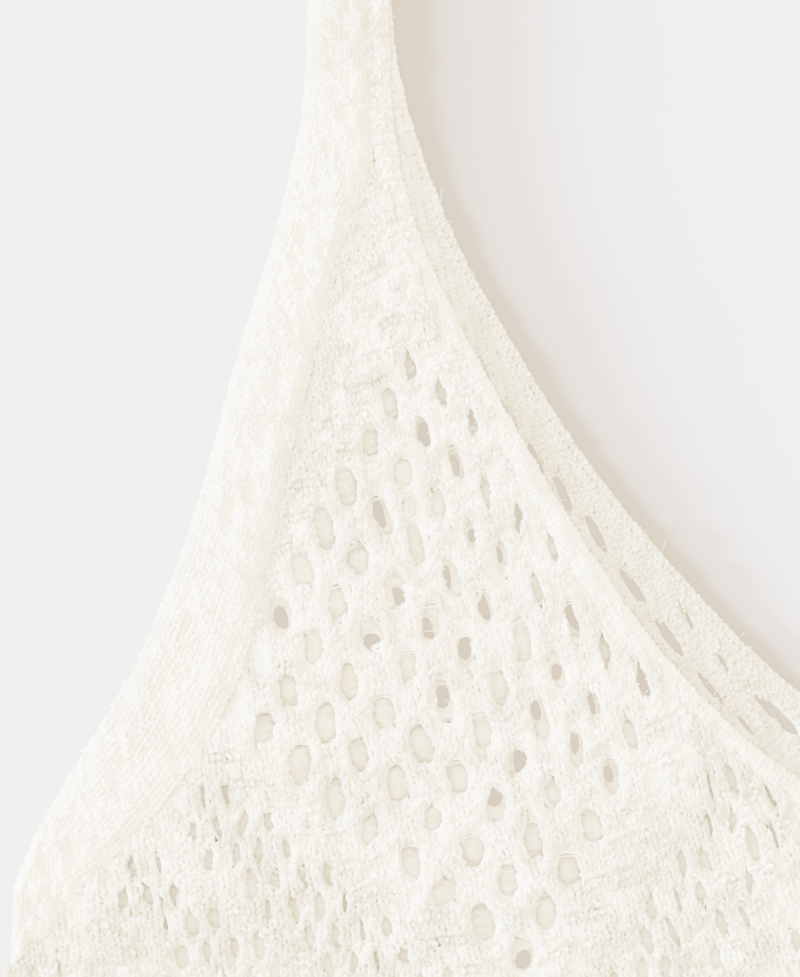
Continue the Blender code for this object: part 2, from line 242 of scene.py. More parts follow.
DARKEST = 1.2  # darkest tone of a loop, where 1 is the painted shade of the back's inside
OPEN_SHARE = 0.66  # no yarn crosses a gap nearer its middle than this
STRAND_ROUND = 0.6  # how far the strands between gaps fall off to their sides
STRAND_EDGE = (0.14, 0.7)  # closeness to a gap at which a strand starts to fall off, and is lowest
FELT = (5.0, 4.0)  # a gap draws stitches aside this many half widths and half heights away
FALL_OFF = (0.95, 1.15)  # and less from its middle outwards, at this rate and this power
CROSSING = 3.0  # stitches can cross a gap only this many half widths off its middle
SLIT_CLEAR = (1.3, 0.7)  # whole stitches keep this far from a slit's edge, across and down
CURVE_POINTS = 300  # points on each curve that a strip of stitches follows
ARMHOLE_POINTS = 200  # and on the armhole's
STITCH_MARGIN = 6.0  # bands and bindings have stitches this far outside the picture

FRONT_BLOCK = ((-110, -8), (30, 270))  # columns and rows of the front that the picture may show
RIDGE_FACE = -1.2  # how far a purl ridge's loops turn to the back
FRONT_RISE = 0.5  # the front's loops lie this much above the middle of its cloth
DENSE_KNIT = (27.0, 33.0)  # the knit is dense from this many stitches off a diamond's middle
FRONT_TONE = (0.19, 0.5)  # tone of the palest loop of the front, and how much of the loops' own is added; the palest is deeper than the band's, a painted shade of the open lace
DENSE_TONE = (0.09, 0.25)  # and how much more of both in the dense knit
PIECE_TRIANGLES = 190000  # most triangles in one piece of the front's stitches
GROOVE_PAINTED_SHADE = 0.42  # painted shade: how much darker the stitches are in the groove beside a band's seam
GROOVE_WIDTH = (3.4, 0.8)  # distances from its middle between which it darkens
GROOVE_PLACE = 0.8  # its middle on the panel is this far from the panel's edge
GROOVE_END = (176.0, 142.0)  # drops between which that sets in, going up
SEAM_DIP = 0.7  # how far the panel sinks beside a band
SEAM_DIP_WIDTH = 9.0
SEAM_DIP_END = (300.0, 240.0)

BAND_COLUMNS = 9
BAND_WIDTH = 14.0  # about its width, down to the curve of the armhole
BAND_FACE = 0.7  # how far its loops' legs stand in front, a front stitch's being 1
BAND_YARN = 1.08  # its yarn is this many times as thick as the front's
BAND_EDGE_KEPT = (0.3, 4.5)  # stitches move aside from slits only this far inside the outline
BAND_TONE = (0.03, 0.32)  # as the front's
STRAP_TONE = 0.34  # how much darker the band is on the strap
STRAP_SHADE = (72.0, 36.0)  # drops between which that sets in, going up
BAND_RISE = (0.2, 1.5)  # height of the band's outer edge over the front's underside, and of its crown over it
BAND_ROLL = 0.28  # share of its width over which the edge rolls under
BAND_SEAM = (0.9, 0.75, 1.05)  # how far it sinks to its seam, from one share of its width to the other
BAND_SLITS = [  # short slack gaps low on the band: (half, drop, half width, half length, lean, bend)
    (199.6, 207.4, 0.5, 2.6, -0.55, 0.1),
    (198.5, 211.4, 0.6, 2.6, -0.5, -0.1),
    (196.9, 217.4, 0.7, 3.0, -0.4, 0.1),
    (202.2, 218.4, 0.6, 2.4, -0.4, 0.1),
    (203.3, 225.6, 0.7, 2.8, -0.35, 0.0),
    (192.8, 215.0, 0.4, 2.4, -0.5, 0.0),
    (206.0, 195.0, 0.5, 2.2, -0.7, 0.0),
    (203.6, 191.2, 0.4, 2.4, -0.8, 0.0),
]

BINDING_COLUMNS = 3
BINDING_ROW = 1.2
BINDING_LAP = 1.2  # the binding's stitches lap this far over the panel
BINDING_CROWN = (1.0, 0.6)  # height of its edges over the front's underside, and of its middle over them
RIDGE_TURN = -1.5  # how far its ridges' loops turn to the back
RIDGED_RUN = 88.0  # it is ridged this far from the shoulder fold
BINDING_TONE = (0.04, 0.3)
BINDING_STRAP = (0.14, 0.4)  # how much darker it is on the strap: all of it, and beside the band, this second part being painted shade of the groove between them
BINDING_BESIDE = (0.6, 0.95)  # shares of its width between which the second sets in
BINDING_SHADE = (78.0, 60.0)  # drops between which it gets darker, going up

STRIP_BLOCK = ((-70, 0), (10, 240))  # columns and rows of the back that may show above the front
STRIP_TOP = 34.0  # drop at which they start
STRIP_REACH = (1.6, 6.0)  # they go from this far inside the back's edge to this far under the front
STRIP_HEIGHT = 1.45  # middle of the back's yarn over the floor
STRIP_FACE = -0.5
STRIP_YARN = 0.97
# the back's inside starts at a deep tone: painted shade, as the front's edge shades it
STRIP_TONE = (0.58, 0.26)
STRIP_DEEPER = (0.48, 70.0, 125.0)  # how much darker the back's inside gets, from one drop to the other
STRIP_PALER = (0.45, 4.5, 0.5)  # and how much paler beside the front's edge: painted light that lifts the shadow there
EDGE_COLUMNS = 2  # the back's finished edge is two narrow columns of stitches
EDGE_COLUMN = 1.5
EDGE_ROW = 1.6
EDGE_FACE = -0.7
EDGE_RISE = 0.25  # it stands this much higher than the stitches beside it
SLITS = [  # long gaps by the back's neck edge: (half, drop, half width, half length, lean, bend)
    (112.6, 111.0, 0.5, 2.6, -0.35, 0.0),
    (107.2, 120.6, 0.6, 3.2, -0.4, 0.1),
    (101.9, 128.6, 0.8, 3.6, -0.4, 0.0),
    (96.4, 135.6, 1.0, 4.0, -0.41, 0.1),
    (89.8, 143.4, 1.1, 3.9, -0.5, -0.1),
    (82.4, 154.2, 1.25, 3.8, -0.66, 0.1),
    (75.2, 164.0, 1.25, 4.0, -0.66, -0.1),
    (67.0, 174.2, 0.9, 3.4, -0.75, 0.0),
    (53.8, 179.6, 1.7, 4.3, -0.95, 0.2),
    (71.2, 160.8, 0.45, 2.4, -0.45, 0.0),
    (64.4, 169.2, 0.5, 2.0, -0.55, 0.0),
    (60.0, 181.6, 0.6, 2.2, -0.8, 0.0),
    (42.0, 190.5, 1.4, 3.4, -1.4, 0.1),
    (29.0, 197.0, 1.2, 2.6, -1.9, 0.0),
    (15.0, 199.6, 1.2, 2.0, -2.2, 0.0),
]

THREAD = 0.15  # radius of a thread across a gap
THREADS_MOST = 2
THREAD_LEVEL = (0.92, 0.2)  # height of the first thread in its gap, and how much lower the next is
THREAD_BOW = (0.35, 0.5)  # how far a thread's middle bows up the dress, and sinks towards the floor
THREAD_ASTRAY = (0.12, 0.2)  # how far all of a thread lies off its place, and its ends
THREAD_RISE = 0.1  # height of a thread's ends over the front
THREAD_HEIGHTS = (-0.3, 0.1)  # and how much lower or higher some are
THREAD_TONES = (0.1, 0.4)
FIBRE = 0.06  # radius of a stray fibre
FIBRE_EVERY = 46  # one fibre for this many points of the yarn
FIBRE_POINTS = 5
FIBRE_LENGTH = (0.7, 2.0)
FIBRE_LOWEST = 0.3  # no fibre goes nearer to the floor
FIBRE_TONE = 0.3  # darkest tone of a fibre
FIBRE_OUT = (0.7, 0.6, 0.3)  # how far it goes straight out, astray, and astray in height
FIBRE_CURL = (0.7, 0.4)  # and how far it curls at its end, and in height
FIBRE_DOWN = -0.3  # no fibre starts where the yarn faces further down

# ---------------------------------------------------------------- the picture
PIXEL = 0.2  # one pixel of the photograph, on the dress
PICTURE = (800, 977)
CENTRE_FRONT_X = 1045  # pixel column of the centre front
FOLD_Y = -183  # pixel row of the shoulder fold
CAMERA_HEIGHT = 1400.0
CAMERA_FILM = 24.0  # height of its picture inside the camera
VIEW_MARGIN = 5.0  # stitches go on this far outside the picture


def pixel(x, y):
    """Side and drop of a pixel of the photograph."""
    return (x - CENTRE_FRONT_X) * PIXEL, (y - FOLD_Y) * PIXEL


VIEW_LOW = pixel(0, 0)
VIEW_HIGH = pixel(*PICTURE)


# ---------------------------------------------------------------- curves and soft steps
def smooth_curve(rows, step):
    """Points (half, drop) on a smooth curve through a table's rows, about one step apart."""
    knots = [np.array((half, drop), float) for _, drop, half in rows]
    after = 2 * knots[-1] - knots[-2]
    if knots[-1][0] == 0:  # a neckline runs level across the centre front
        after = knots[-2] * (-1, 1)
    knots = [2 * knots[0] - knots[1], *knots, after]
    points = []
    for a, b, c, d in zip(knots, knots[1:], knots[2:], knots[3:]):
        pieces = max(1, round(math.dist(b, c) / step))
        for u in np.arange(pieces) / pieces:
            bend = (2 * a - 5 * b + 4 * c - d) * u**2 + (3 * b - a - 3 * c + d) * u**3
            points.append((2 * b + (c - a) * u + bend) / 2)
    return np.array(points + [knots[-2]])


def run_along(points):
    """How far along a curve each of its points is."""
    return np.concatenate([[0], np.hypot(*np.diff(points, axis=0).T).cumsum()])


def spread(points, count):
    """The same curve as count points, evenly apart."""
    run = run_along(points)
    at = np.linspace(0, run[-1], count)
    return np.stack([np.interp(at, run, points[:, 0]), np.interp(at, run, points[:, 1])], 1)


def shifted(points, distance):
    """A curve moved sideways, away from the neck."""
    along = np.gradient(points, axis=0)
    side = np.stack([along[:, 1], -along[:, 0]], 1)
    side[points[:, 0] == 0] = (0, 1)
    return points + distance * side / np.hypot(*side.T)[:, None]


def ramp(low, high, values):
    """0 at low, 1 at high, and a soft step between them."""
    share = np.clip((values - low) / (high - low), 0, 1)
    return share * share * (3 - 2 * share)


SIDE_CURVE = smooth_curve(OUTLINE, 4)
ARMHOLE_CURVE = smooth_curve([row for row in OUTLINE if row[1] <= UNDERARM], 4)
BAND_CURVE = smooth_curve(BAND_EDGE, 3)
FRONT_NECK_CURVE = smooth_curve(FRONT_NECK, 3)
BACK_NECK_CURVE = smooth_curve(BACK_NECK, 3)


def half_at(curve, drop):
    """The half at which a curve passes each drop, or -1 below its end."""
    return np.interp(drop, curve[:, 1], curve[:, 0], right=-1.0)


def side_at(drop):
    """Half the width of the whole dress at each drop."""
    return np.interp(drop, SIDE_CURVE[:, 1], SIDE_CURVE[:, 0])


def flare(drop):
    """How much wider or narrower than made the knit lies, from the bust down."""
    return 1 + (side_at(drop) / BUST_HALF - 1) * ramp(*FLARE_START, drop)


def lift(side, drop):
    """How far the front rises off the back, in its folds."""
    height = np.zeros_like(side)
    for _, top, top_side, foot, foot_side, width, rise in FOLDS:
        share = (drop - top) / (foot - top)
        middle = top_side + (foot_side - top_side) * share
        fade = ramp(0, FOLD_FADE, share) * (ramp(1, 1 - FOLD_FADE, share) if foot < LENGTH else 1)
        ridge = rise * fade * np.exp(-(((side - middle) / width) ** 2))
        height = np.maximum(height, np.where(share > 0, ridge, 0))
    return height * ramp(0, SIDE_FADE, side_at(drop) - abs(side))


def unevenness(side, drop):
    """The slow rise and fall of cloth laid by hand."""
    return sum(height * np.sin(side / out + drop / down + start) for height, out, down, start in HAND_WAVES)


# ---------------------------------------------------------------- where stitches lie
class Knit:
    """The knit of one panel, drawn out round its neck."""

    def __init__(self, neck):
        half, drop = np.meshgrid(*(np.arange(0, size, GRID) for size in GRID_SIZE), indexing="ij")
        away = np.full(half.shape, 1e9)
        for x, y in neck:
            away = np.minimum(away, np.hypot(half - x, drop - y))
        rows = np.array(LEAN).T
        wide = np.interp(drop, rows[0], rows[1]) * np.exp(-away / LEAN_REACH)
        close = np.interp(drop, rows[0], rows[2]) * np.exp(-away / EDGE_REACH)
        slope = (wide + close) * ramp(0, CENTRE_CALM, half) * GRID
        self.outward = slope[:, ::-1].cumsum(axis=1)[:, ::-1]
        self.upward = slope[::-1].cumsum(axis=0)[::-1]
        self.half, self.drop = half.copy(), drop.copy()
        rounds, step = SETTLING
        for _ in range(rounds):
            self.half += step * (half + self.read(self.outward, self.half, self.drop) - self.half)
            self.drop += step * (drop - self.read(self.upward, self.half, self.drop) - self.drop)

    def read(self, table, x, y):
        """A table's value at each place, from the four grid points round it."""
        i = np.clip(x / GRID, 0, table.shape[0] - 1.001)
        j = np.clip(y / GRID, 0, table.shape[1] - 1.001)
        low_i, low_j = i.astype(int), j.astype(int)
        u, v = i - low_i, j - low_j
        near = table[low_i, low_j] * (1 - v) + table[low_i, low_j + 1] * v
        far = table[low_i + 1, low_j] * (1 - v) + table[low_i + 1, low_j + 1] * v
        return near * (1 - u) + far * u

    def place(self, across, down):
        """Side and drop of stitches."""
        size = abs(across)
        deep = down > DRAWN_DROP
        half = np.where(deep, size, self.read(self.half, size, down))
        drop = np.where(deep, down, self.read(self.drop, size, down))
        return np.where(across < 0, -1, 1) * half * flare(drop), drop

    def made(self, side, drop):
        """Across and down of the stitches at places."""
        half = abs(side) / flare(drop)
        deep = drop > DRAWN_DROP
        across = half - np.where(deep, 0, self.read(self.outward, half, drop))
        down = drop + np.where(deep, 0, self.read(self.upward, half, drop))
        return np.where(side < 0, -1, 1) * across, down


def diamonds():
    """Middles of the lace diamonds, as (across, down, column)."""
    found = []
    for column in range(-SIDE_COLUMNS, SIDE_COLUMNS + 1):
        across = math.copysign(FIRST_COLUMN + (abs(column) - 1) * COLUMN_PITCH, column) if column else 0
        first = DIAMOND_DROP - DIAMOND_PITCH + (0 if column % 2 else DIAMOND_PITCH / 2)
        found += [(across, first + DIAMOND_PITCH * row, column) for row in range(DIAMONDS_DOWN)]
    return found


DIAMONDS = diamonds()


def from_diamonds(across, down):
    """Stitches to the middle of the nearest diamond, counting two rows as one."""
    nearest = np.full(np.shape(across), 1e9)
    for middle, level, _ in DIAMONDS:
        nearest = np.minimum(nearest, abs(across - middle) / WALE + abs(down - level) / COURSE / 2)
    return nearest


def uneven(gaps, shift, small, large, rng):
    """Gaps as the knit has them: out of place, of several sizes, leaning and bent."""
    gaps = np.array(gaps)
    gaps[:, :2] += rng.uniform(-shift, shift, (len(gaps), 2))
    gaps[:, 2:4] *= rng.uniform(small, large, (len(gaps), 2))
    lean = GAP_LEAN * rng.uniform(-1, 1, len(gaps))
    bend = GAP_BEND * rng.uniform(-1, 1, len(gaps))
    return np.column_stack([gaps[:, :4], lean, bend])


def bow(v):
    """How far a bent gap's middle line stands aside, from its top at -1 to its foot at 1."""
    return np.cos(1.5 * v) - 0.4


def in_gap(across, down, gap):
    """Places measured from a gap's middle, so that its edge is 1 away all round."""
    x, y, wide, high, lean, bend = gap
    v = (down - y) / high
    return (across - x - lean * (down - y)) / wide + bend * bow(v), v


def reach(u, v):
    """How far places are from a gap's middle, 1 being its edge: an oval with full corners."""
    return (abs(u) ** GAP_FULLNESS + abs(v) ** GAP_FULLNESS) ** (1 / GAP_FULLNESS)


def gap_outline(gap, margin, shape=GAP_SHAPE):
    """Corners (across, down) on a gap's edge, or as far outside it as the margin."""
    x, y, wide, high, lean, bend = gap
    u, v = np.array(shape).T
    below = (high + margin) * v
    return x + lean * below + (wide + margin) * (u - bend * bow(v)), y + below


def from_neck(front, gaps):
    """How far gaps lie below the front neck's edge, as (side, distance)."""
    side, drop = front.place(gaps[:, 0], gaps[:, 1])
    half = abs(side)
    away = np.full(len(gaps), 1e9)
    for x, y in FRONT_NECK_CURVE[::2]:
        away = np.minimum(away, np.hypot(half - x, drop - y))
    return side, np.where(half < half_at(FRONT_NECK_CURVE, drop), -away, away)


def net_gaps(front):
    """The big gaps inside the diamonds, as (across, down, half width, half height, lean, bend)."""
    gaps, rng = [], np.random.default_rng(SEED)
    for middle, level, _ in DIAMONDS:
        for n in range(-NET_COUNT, NET_COUNT + 1):
            for m in range(-NET_COUNT, NET_COUNT + 1):
                i, j = m * NET_STEP[0], n * NET_STEP[1]
                if (m + n) % 2 == 0 and abs(i) + abs(j) / 2 < NET_EDGE:
                    gaps.append((middle + i * WALE, level + j * COURSE, *NET_GAP))
    gaps = uneven(gaps, *NET_UNEVEN, rng)
    _, away = from_neck(front, gaps)
    least, low, high = NECK_PULL
    gaps[:, 2] *= least + (1 - least) * ramp(low, high, away)
    return gaps


def behind(net, front, back):
    """The back's gaps: the same lace, laid askew, so that only some of its gaps lie behind the front's."""
    rng, count = np.random.default_rng(SEED + 1), len(net)
    side, away = from_neck(front, net)
    _, drop = front.place(net[:, 0], net[:, 1])
    near, far = BEHIND_OPEN
    is_open = rng.uniform(0, 1, count) < near + (far - near) * ramp(*BEHIND_REACH, away)
    is_open &= drop > CLOSED_TIP
    gaps = net.copy()
    gaps[:, 0], gaps[:, 1] = back.made(*front.place(net[:, 0], net[:, 1]))
    drift = (np.where(side < 0, 1, -1) * BACK_DRIFT * WALE, 0)
    for axis, shift in enumerate(BEHIND_SHIFT):
        gaps[:, axis] += np.where(is_open, rng.uniform(-shift, shift, count), drift[axis])
    for axis, (least, most, more) in enumerate(BEHIND_SIZE, 2):
        size = rng.uniform(least, most, count) + more * ramp(*BEHIND_WIDER, away)
        gaps[:, axis] *= np.where(is_open, size, CLOSED_SIZE)
    gaps = uneven(gaps, *BACK_UNEVEN, rng)
    side, drop = back.place(gaps[:, 0], gaps[:, 1])
    for x, y, _, high, _, _ in SLITS:
        by_slit = (abs(abs(side) - x) < SLIT_ROOM[0]) & (abs(drop - y) < high + SLIT_ROOM[1])
        away = np.where(by_slit, 0, away)
    return gaps[away > NECK_ROOM]


def eyelets():
    """The small gaps in the bands round the diamonds."""
    gaps = []
    for middle, level, column in DIAMONDS:
        for n in range(-EYELET_COUNT, EYELET_COUNT + 1):
            for m in range(-EYELET_COUNT, EYELET_COUNT + 1):
                i, j = (m + 0.5 * (n % 2)) * EYELET_STEP[0], n * EYELET_STEP[1]
                own = abs(i) + abs(j) / 2
                across, down = middle + i * WALE, level + j * COURSE
                nearest = from_diamonds(across, down)
                low, high = EYELET_BANDS[0]
                if column % 2 == 0:
                    high = EVEN_BAND
                elif i * middle < 0:
                    low = INNER_BAND
                first = low <= own <= high and own <= nearest + 0.01
                low, high = EYELET_BANDS[1]
                second = column % 2 and low <= own <= high and nearest > own - BAND_OVERLAP
                if first or second:
                    gaps.append((across, down, *EYELET_GAP))
    return uneven(gaps, *EYELET_UNEVEN, np.random.default_rng(SEED + 2))


def within(side, drop, neck):
    """Whether places lie on a panel, inside its bands and binding."""
    half = abs(side)
    armhole = half_at(BAND_CURVE, drop)
    edge = np.where(armhole > 0, armhole, side_at(drop))
    return (half < edge) & (half > half_at(neck, drop) + BINDING) & (drop > PANEL_TIP) & (drop < LENGTH)


def in_view(side, drop, margin=VIEW_MARGIN):
    """Whether places lie in the picture, or just outside it."""
    return (
        (side > VIEW_LOW[0] - margin)
        & (side < VIEW_HIGH[0] + margin)
        & (drop > VIEW_LOW[1] - margin)
        & (drop < VIEW_HIGH[1] + margin)
    )


def in_picture(lines):
    """Whether stitches' middle lines lie in the picture, or not far outside it."""
    middle = lines[:, LOOP_MIDDLE]
    return in_view(middle[:, 0], LENGTH / 2 - middle[:, 1], STITCH_MARGIN)


# ---------------------------------------------------------------- yarn
def loop_line():
    """The middle line of one stitch: stitches along, rows up, and depth towards the front."""
    turn = np.linspace(-math.pi, math.pi, LOOP_STEPS + 1)
    along = turn / (2 * math.pi) + LOOP_SWING * np.sin(2 * turn)
    return along, LOOP_REACH * np.cos(turn), -np.cos(2 * turn)


JITTER_CELLS = 64


class Jitter:
    """The small unevenness of stitches, the same wherever two of them meet."""

    def __init__(self, rng, amount, by_stitch, by_row, start):
        self.table = rng.uniform(-1, 1, (JITTER_CELLS, JITTER_CELLS))
        self.amount, self.by_stitch, self.by_row, self.start = amount, by_stitch, by_row, start

    def read(self, stitch, row):
        """The unevenness at places given in stitches and rows."""
        i, j = stitch * self.by_stitch + self.start, row * self.by_row
        low_i, low_j = np.floor(i).astype(int), np.floor(j).astype(int)
        u, v = i - low_i, j - low_j
        u, v = u * u * (3 - 2 * u), v * v * (3 - 2 * v)
        t, a, b = self.table, low_i % JITTER_CELLS, low_j % JITTER_CELLS
        c, d = (low_i + 1) % JITTER_CELLS, (low_j + 1) % JITTER_CELLS
        near, far = t[a, b] * (1 - u) + t[c, b] * u, t[a, d] * (1 - u) + t[c, d] * u
        return self.amount * (near * (1 - v) + far * v)


def pushed_aside(across, down, gaps, ease=1.0):
    """Moves stitches out of the gaps, which draws them together into strands between the gaps.

    Also gives how far each place sinks, as the strands are round.
    """
    moved_across, moved_down, sink = across.copy(), down.copy(), np.zeros(across.shape)
    ease = np.broadcast_to(ease, across.shape)
    for gap in gaps:
        x, y, wide, high, lean, _ = gap
        beside = abs(across - x) < FELT[0] * wide + FELT[1] * abs(lean) * high
        near = np.nonzero(beside & (abs(down - y) < FELT[1] * high))
        u, v = in_gap(across[near], down[near], gap)
        r = reach(u, v) + 1e-6
        closeness = np.exp(-FALL_OFF[0] * r ** FALL_OFF[1])
        push = ease[near] * closeness / r
        fall = STRAND_ROUND * wide / NET_GAP[0] * ramp(*STRAND_EDGE, closeness)
        sink[near] = np.maximum(sink[near], fall)
        moved_across[near] += push * (wide * u + lean * high * v)
        moved_down[near] += push * high * v
    return moved_across, moved_down, sink


def whole_aside(across, down, slits):
    """Moves whole stitches out of narrow slits."""
    wider, higher = SLIT_CLEAR
    wide = [(x, y, w + wider, high + higher, lean, bend) for x, y, w, high, lean, bend in slits]
    middle_across, middle_down = across.mean(axis=1, keepdims=True), down.mean(axis=1, keepdims=True)
    moved_across, moved_down, _ = pushed_aside(middle_across, middle_down, wide)
    return across + moved_across - middle_across, down + moved_down - middle_down


def clear_of(across, down, gaps):
    """Which stitches run round the gaps, and not over them."""
    x, y = (across[:, 1:] + across[:, :-1]) / 2, (down[:, 1:] + down[:, :-1]) / 2
    clear = np.ones(len(x), bool)
    for gap in gaps:
        near = np.nonzero((abs(x - gap[0]) < CROSSING * gap[2]) & (abs(y - gap[1]) < gap[3]))
        clear[near[0][reach(*in_gap(x[near], y[near], gap)) < OPEN_SHARE]] = False
    return clear


def tubes(name, lines, radius, tone, flat=0.85, sides=4):
    """A mesh of yarns: lines holds the points of each one's middle line, in millimetres."""
    count, steps, _ = lines.shape
    along = np.gradient(lines, axis=1)
    along /= np.linalg.norm(along, axis=2, keepdims=True) + 1e-9
    across = np.cross(along, (0.0, 0.0, 1.0))
    across /= np.linalg.norm(across, axis=2, keepdims=True) + 1e-6
    out = np.cross(across, along)
    turn = (np.arange(sides) + 0.5) * 2 * math.pi / sides
    thickness = np.broadcast_to(radius, (count, steps))[:, :, None, None]
    ring = (
        across[:, :, None, :] * np.cos(turn)[:, None] + flat * out[:, :, None, :] * np.sin(turn)[:, None]
    )
    points = lines[:, :, None, :] + thickness * ring
    index = np.arange(count * steps * sides).reshape(count, steps, sides)
    after = np.roll(index, -1, axis=2)
    quads = np.stack([index[:, :-1], after[:, :-1], after[:, 1:], index[:, 1:]], axis=-1)
    run = np.concatenate(
        [np.zeros((count, 1)), np.linalg.norm(np.diff(lines, axis=1), axis=2).cumsum(axis=1)], axis=1
    )
    v_low = np.broadcast_to(np.arange(sides) / sides, (count, steps - 1, sides))
    u_low = np.broadcast_to(run[:, :-1, None], v_low.shape)
    u_high = np.broadcast_to(run[:, 1:, None], v_low.shape)
    v_high = v_low + 1 / sides
    corners = [(u_low, v_low), (u_low, v_high), (u_high, v_high), (u_high, v_low)]
    uv = np.stack([np.stack(corner, -1) for corner in corners], axis=-2)
    tones = np.repeat(np.broadcast_to(tone, (count,)), steps * sides)
    return mesh_object(name, points.reshape(-1, 3), quads.reshape(-1, 4), uv.reshape(-1, 2), tones)


def mesh_object(name, points, faces, uv=None, tone=None):
    """An object of points in millimetres and faces that all have as many corners."""
    mesh = bpy.data.meshes.new(name)
    corners = faces.shape[1]
    mesh.vertices.add(len(points))
    mesh.vertices.foreach_set("co", (points * MM).ravel().astype(np.float32))
    mesh.loops.add(faces.size)
    mesh.loops.foreach_set("vertex_index", faces.ravel().astype(np.int32))
    mesh.polygons.add(len(faces))
    mesh.polygons.foreach_set("loop_start", np.arange(0, faces.size, corners, dtype=np.int32))
    if uv is not None:
        layer = mesh.uv_layers.new(name="UVMap")
        layer.data.foreach_set("uv", uv.ravel().astype(np.float32))
    if tone is not None:
        layer = mesh.attributes.new("tone", "FLOAT", "POINT")
        layer.data.foreach_set("value", tone.astype(np.float32))
    mesh.update(calc_edges=True)
    mesh.shade_smooth()
    obj = bpy.data.objects.new(name, mesh)
    bpy.context.scene.collection.objects.link(obj)
    return obj


def to_frame(side, drop, height):
    """Points in millimetres in the shared frame."""
    return np.stack([side, LENGTH / 2 - drop, np.broadcast_to(height, np.shape(side))], axis=-1)


def ridge_rows(across, down):
    """Whether stitches belong to a purl ridge of the closely knitted bands."""
    away = from_diamonds(across, down)
    row = np.round(down / COURSE)
    banded = np.zeros(np.shape(across), bool)
    for low, high in RIDGE_BANDS:
        banded |= (away > low) & (away < high)
    return banded & (row % RIDGE_EVERY == 0)


def loops(u, v, depth_sign, gaps, scale, rng, ragged=1.0):
    """Stitches' middle lines from their places (stitch, row), drawn aside by the gaps.

    Gives across, down and height over the middle of the cloth, and which stitches cross no gap.
    """
    wavers = {name: Jitter(rng, *rates) for name, *rates in WAVERS}
    along, up, depth = loop_line()
    u, v = u[:, None] + along, v[:, None] - up
    w = depth_sign[:, None] * depth
    uneven_share = LEAST_UNEVEN + (1 - LEAST_UNEVEN) * ragged
    u = u + uneven_share * wavers["along"].read(u, v)
    v = v + uneven_share * wavers["up"].read(u, v)
    ease = 1 + ragged * EASE * rng.normal(0, 1, (len(u), 1))
    a, d, sink = pushed_aside(u * scale[0], v * scale[1], gaps, ease)
    loose = rng.normal(0, LOOSE, (3, len(a), 1))
    a = a + ragged * (wavers["across"].read(u, v) + loose[0])
    d = d + ragged * (wavers["down"].read(u, v) + loose[1])
    slow = wavers["slow"].read(u, v)
    height = LOOP_DEPTH * w + SLOW_HEIGHT * slow - sink
    height = height + uneven_share * (wavers["height"].read(u, v) + LOOSE_HEIGHT * loose[2])
    slower = wavers["slower"].read(u[:, LOOP_MIDDLE], v[:, LOOP_MIDDLE])
    middle, by_slow, by_slower, own = TONES
    tone = middle + by_slow * slow[:, LOOP_MIDDLE] + by_slower * slower + own * rng.normal(0, 1, len(u))
    return a, d, height, np.clip(tone, 0, DARKEST), clear_of(a, d, gaps)


def yarn_radius(count, rng):
    """Yarn a little thicker and thinner from stitch to stitch and along each."""
    by_stitch, along = rng.uniform(-1, 1, (count, 1)), rng.uniform(-1, 1, (count, LOOP_STEPS + 1))
    return YARN * (1 + YARN_UNEVEN * by_stitch + YARN_UNEVEN * along)


def seam_dip(side, drop):
    """How far the panel sinks beside an armhole band."""
    beside = ramp(SEAM_DIP_WIDTH, 0, half_at(BAND_CURVE, drop) - abs(side))
    return SEAM_DIP * beside * ramp(*SEAM_DIP_END, drop)


def painted_groove_shade(distance, drop):
    """Painted shade in the groove beside the seam of an armhole band: how much darker the stitches are there,
    at millimetres from it.
    """
    return GROOVE_PAINTED_SHADE * ramp(*GROOVE_WIDTH, abs(distance)) * ramp(*GROOVE_END, drop)


def stitch_block(columns, rows):
    """Across and down of the stitches in a block of columns and rows."""
    i, j = np.meshgrid(np.arange(*columns), np.arange(*rows), indexing="ij")
    return (i.ravel() + 0.5) * WALE, j.ravel() * COURSE


def stitches_along(edge, columns, row):
    """Column and row of each stitch in a strip along an edge, and how many rows it has."""
    rows = int(run_along(edge)[-1] / row)
    i, j = np.meshgrid(np.arange(columns) + 0.5, np.arange(rows) + 0.5, indexing="ij")
    return i.ravel(), j.ravel(), rows


def between(share, way, outer, inner):
    """Half and drop at a share of the width between two curves, part of the way along them."""
    line = np.arange(len(outer))
    at = np.clip(way, 0, 1) * line[-1]
    edges = [[np.interp(at, line, curve[:, axis]) for curve in (outer, inner)] for axis in (0, 1)]
    return [out * (1 - share) + into * share for out, into in edges]


def front_stitches(knit, gaps, rng):
    """Every stitch of the front panel that the picture shows, as real loops of yarn."""
    across, down = stitch_block(*FRONT_BLOCK)
    side, drop = knit.place(across, down)
    keep = within(side, drop, FRONT_NECK_CURVE) & in_view(side, drop)
    for gap in gaps:
        keep &= reach(*in_gap(across, down, gap)) > GAP_CORE
    across, down = across[keep], down[keep]
    face = np.where(ridge_rows(across, down), RIDGE_FACE, 1)
    a, d, height, tone, clear = loops(across / WALE, down / COURSE, face, gaps, (WALE, COURSE), rng)
    side, drop = knit.place(a, d)
    middle = FRONT_BASE + CLOTH / 2 + lift(side, drop) + unevenness(side, drop)
    middle = middle + FRONT_RISE - seam_dip(side, drop) + np.where(face < 0, RIDGE_RISE, 0)[:, None]
    lines = to_frame(side, drop, middle + height)[clear]
    dense = ramp(*DENSE_KNIT, from_diamonds(across, down))
    low, span = [plain + more * dense for plain, more in zip(FRONT_TONE, DENSE_TONE)]
    side, drop = side[:, LOOP_MIDDLE], drop[:, LOOP_MIDDLE]
    # darker beside the band's seam: painted shade of the groove there
    tone = low + span * tone + painted_groove_shade(half_at(BAND_CURVE, drop) - abs(side) - GROOVE_PLACE, drop)
    tone, radius = tone[clear], yarn_radius(len(lines), rng)
    order = np.argsort(-lines[:, 0, 1])
    count = math.ceil(len(order) * LOOP_STEPS * 8 / PIECE_TRIANGLES)
    return [
        tubes(f"front_stitches_{number}", lines[part], radius[part], tone[part])
        for number, part in enumerate(np.array_split(order, count), 1)
    ]


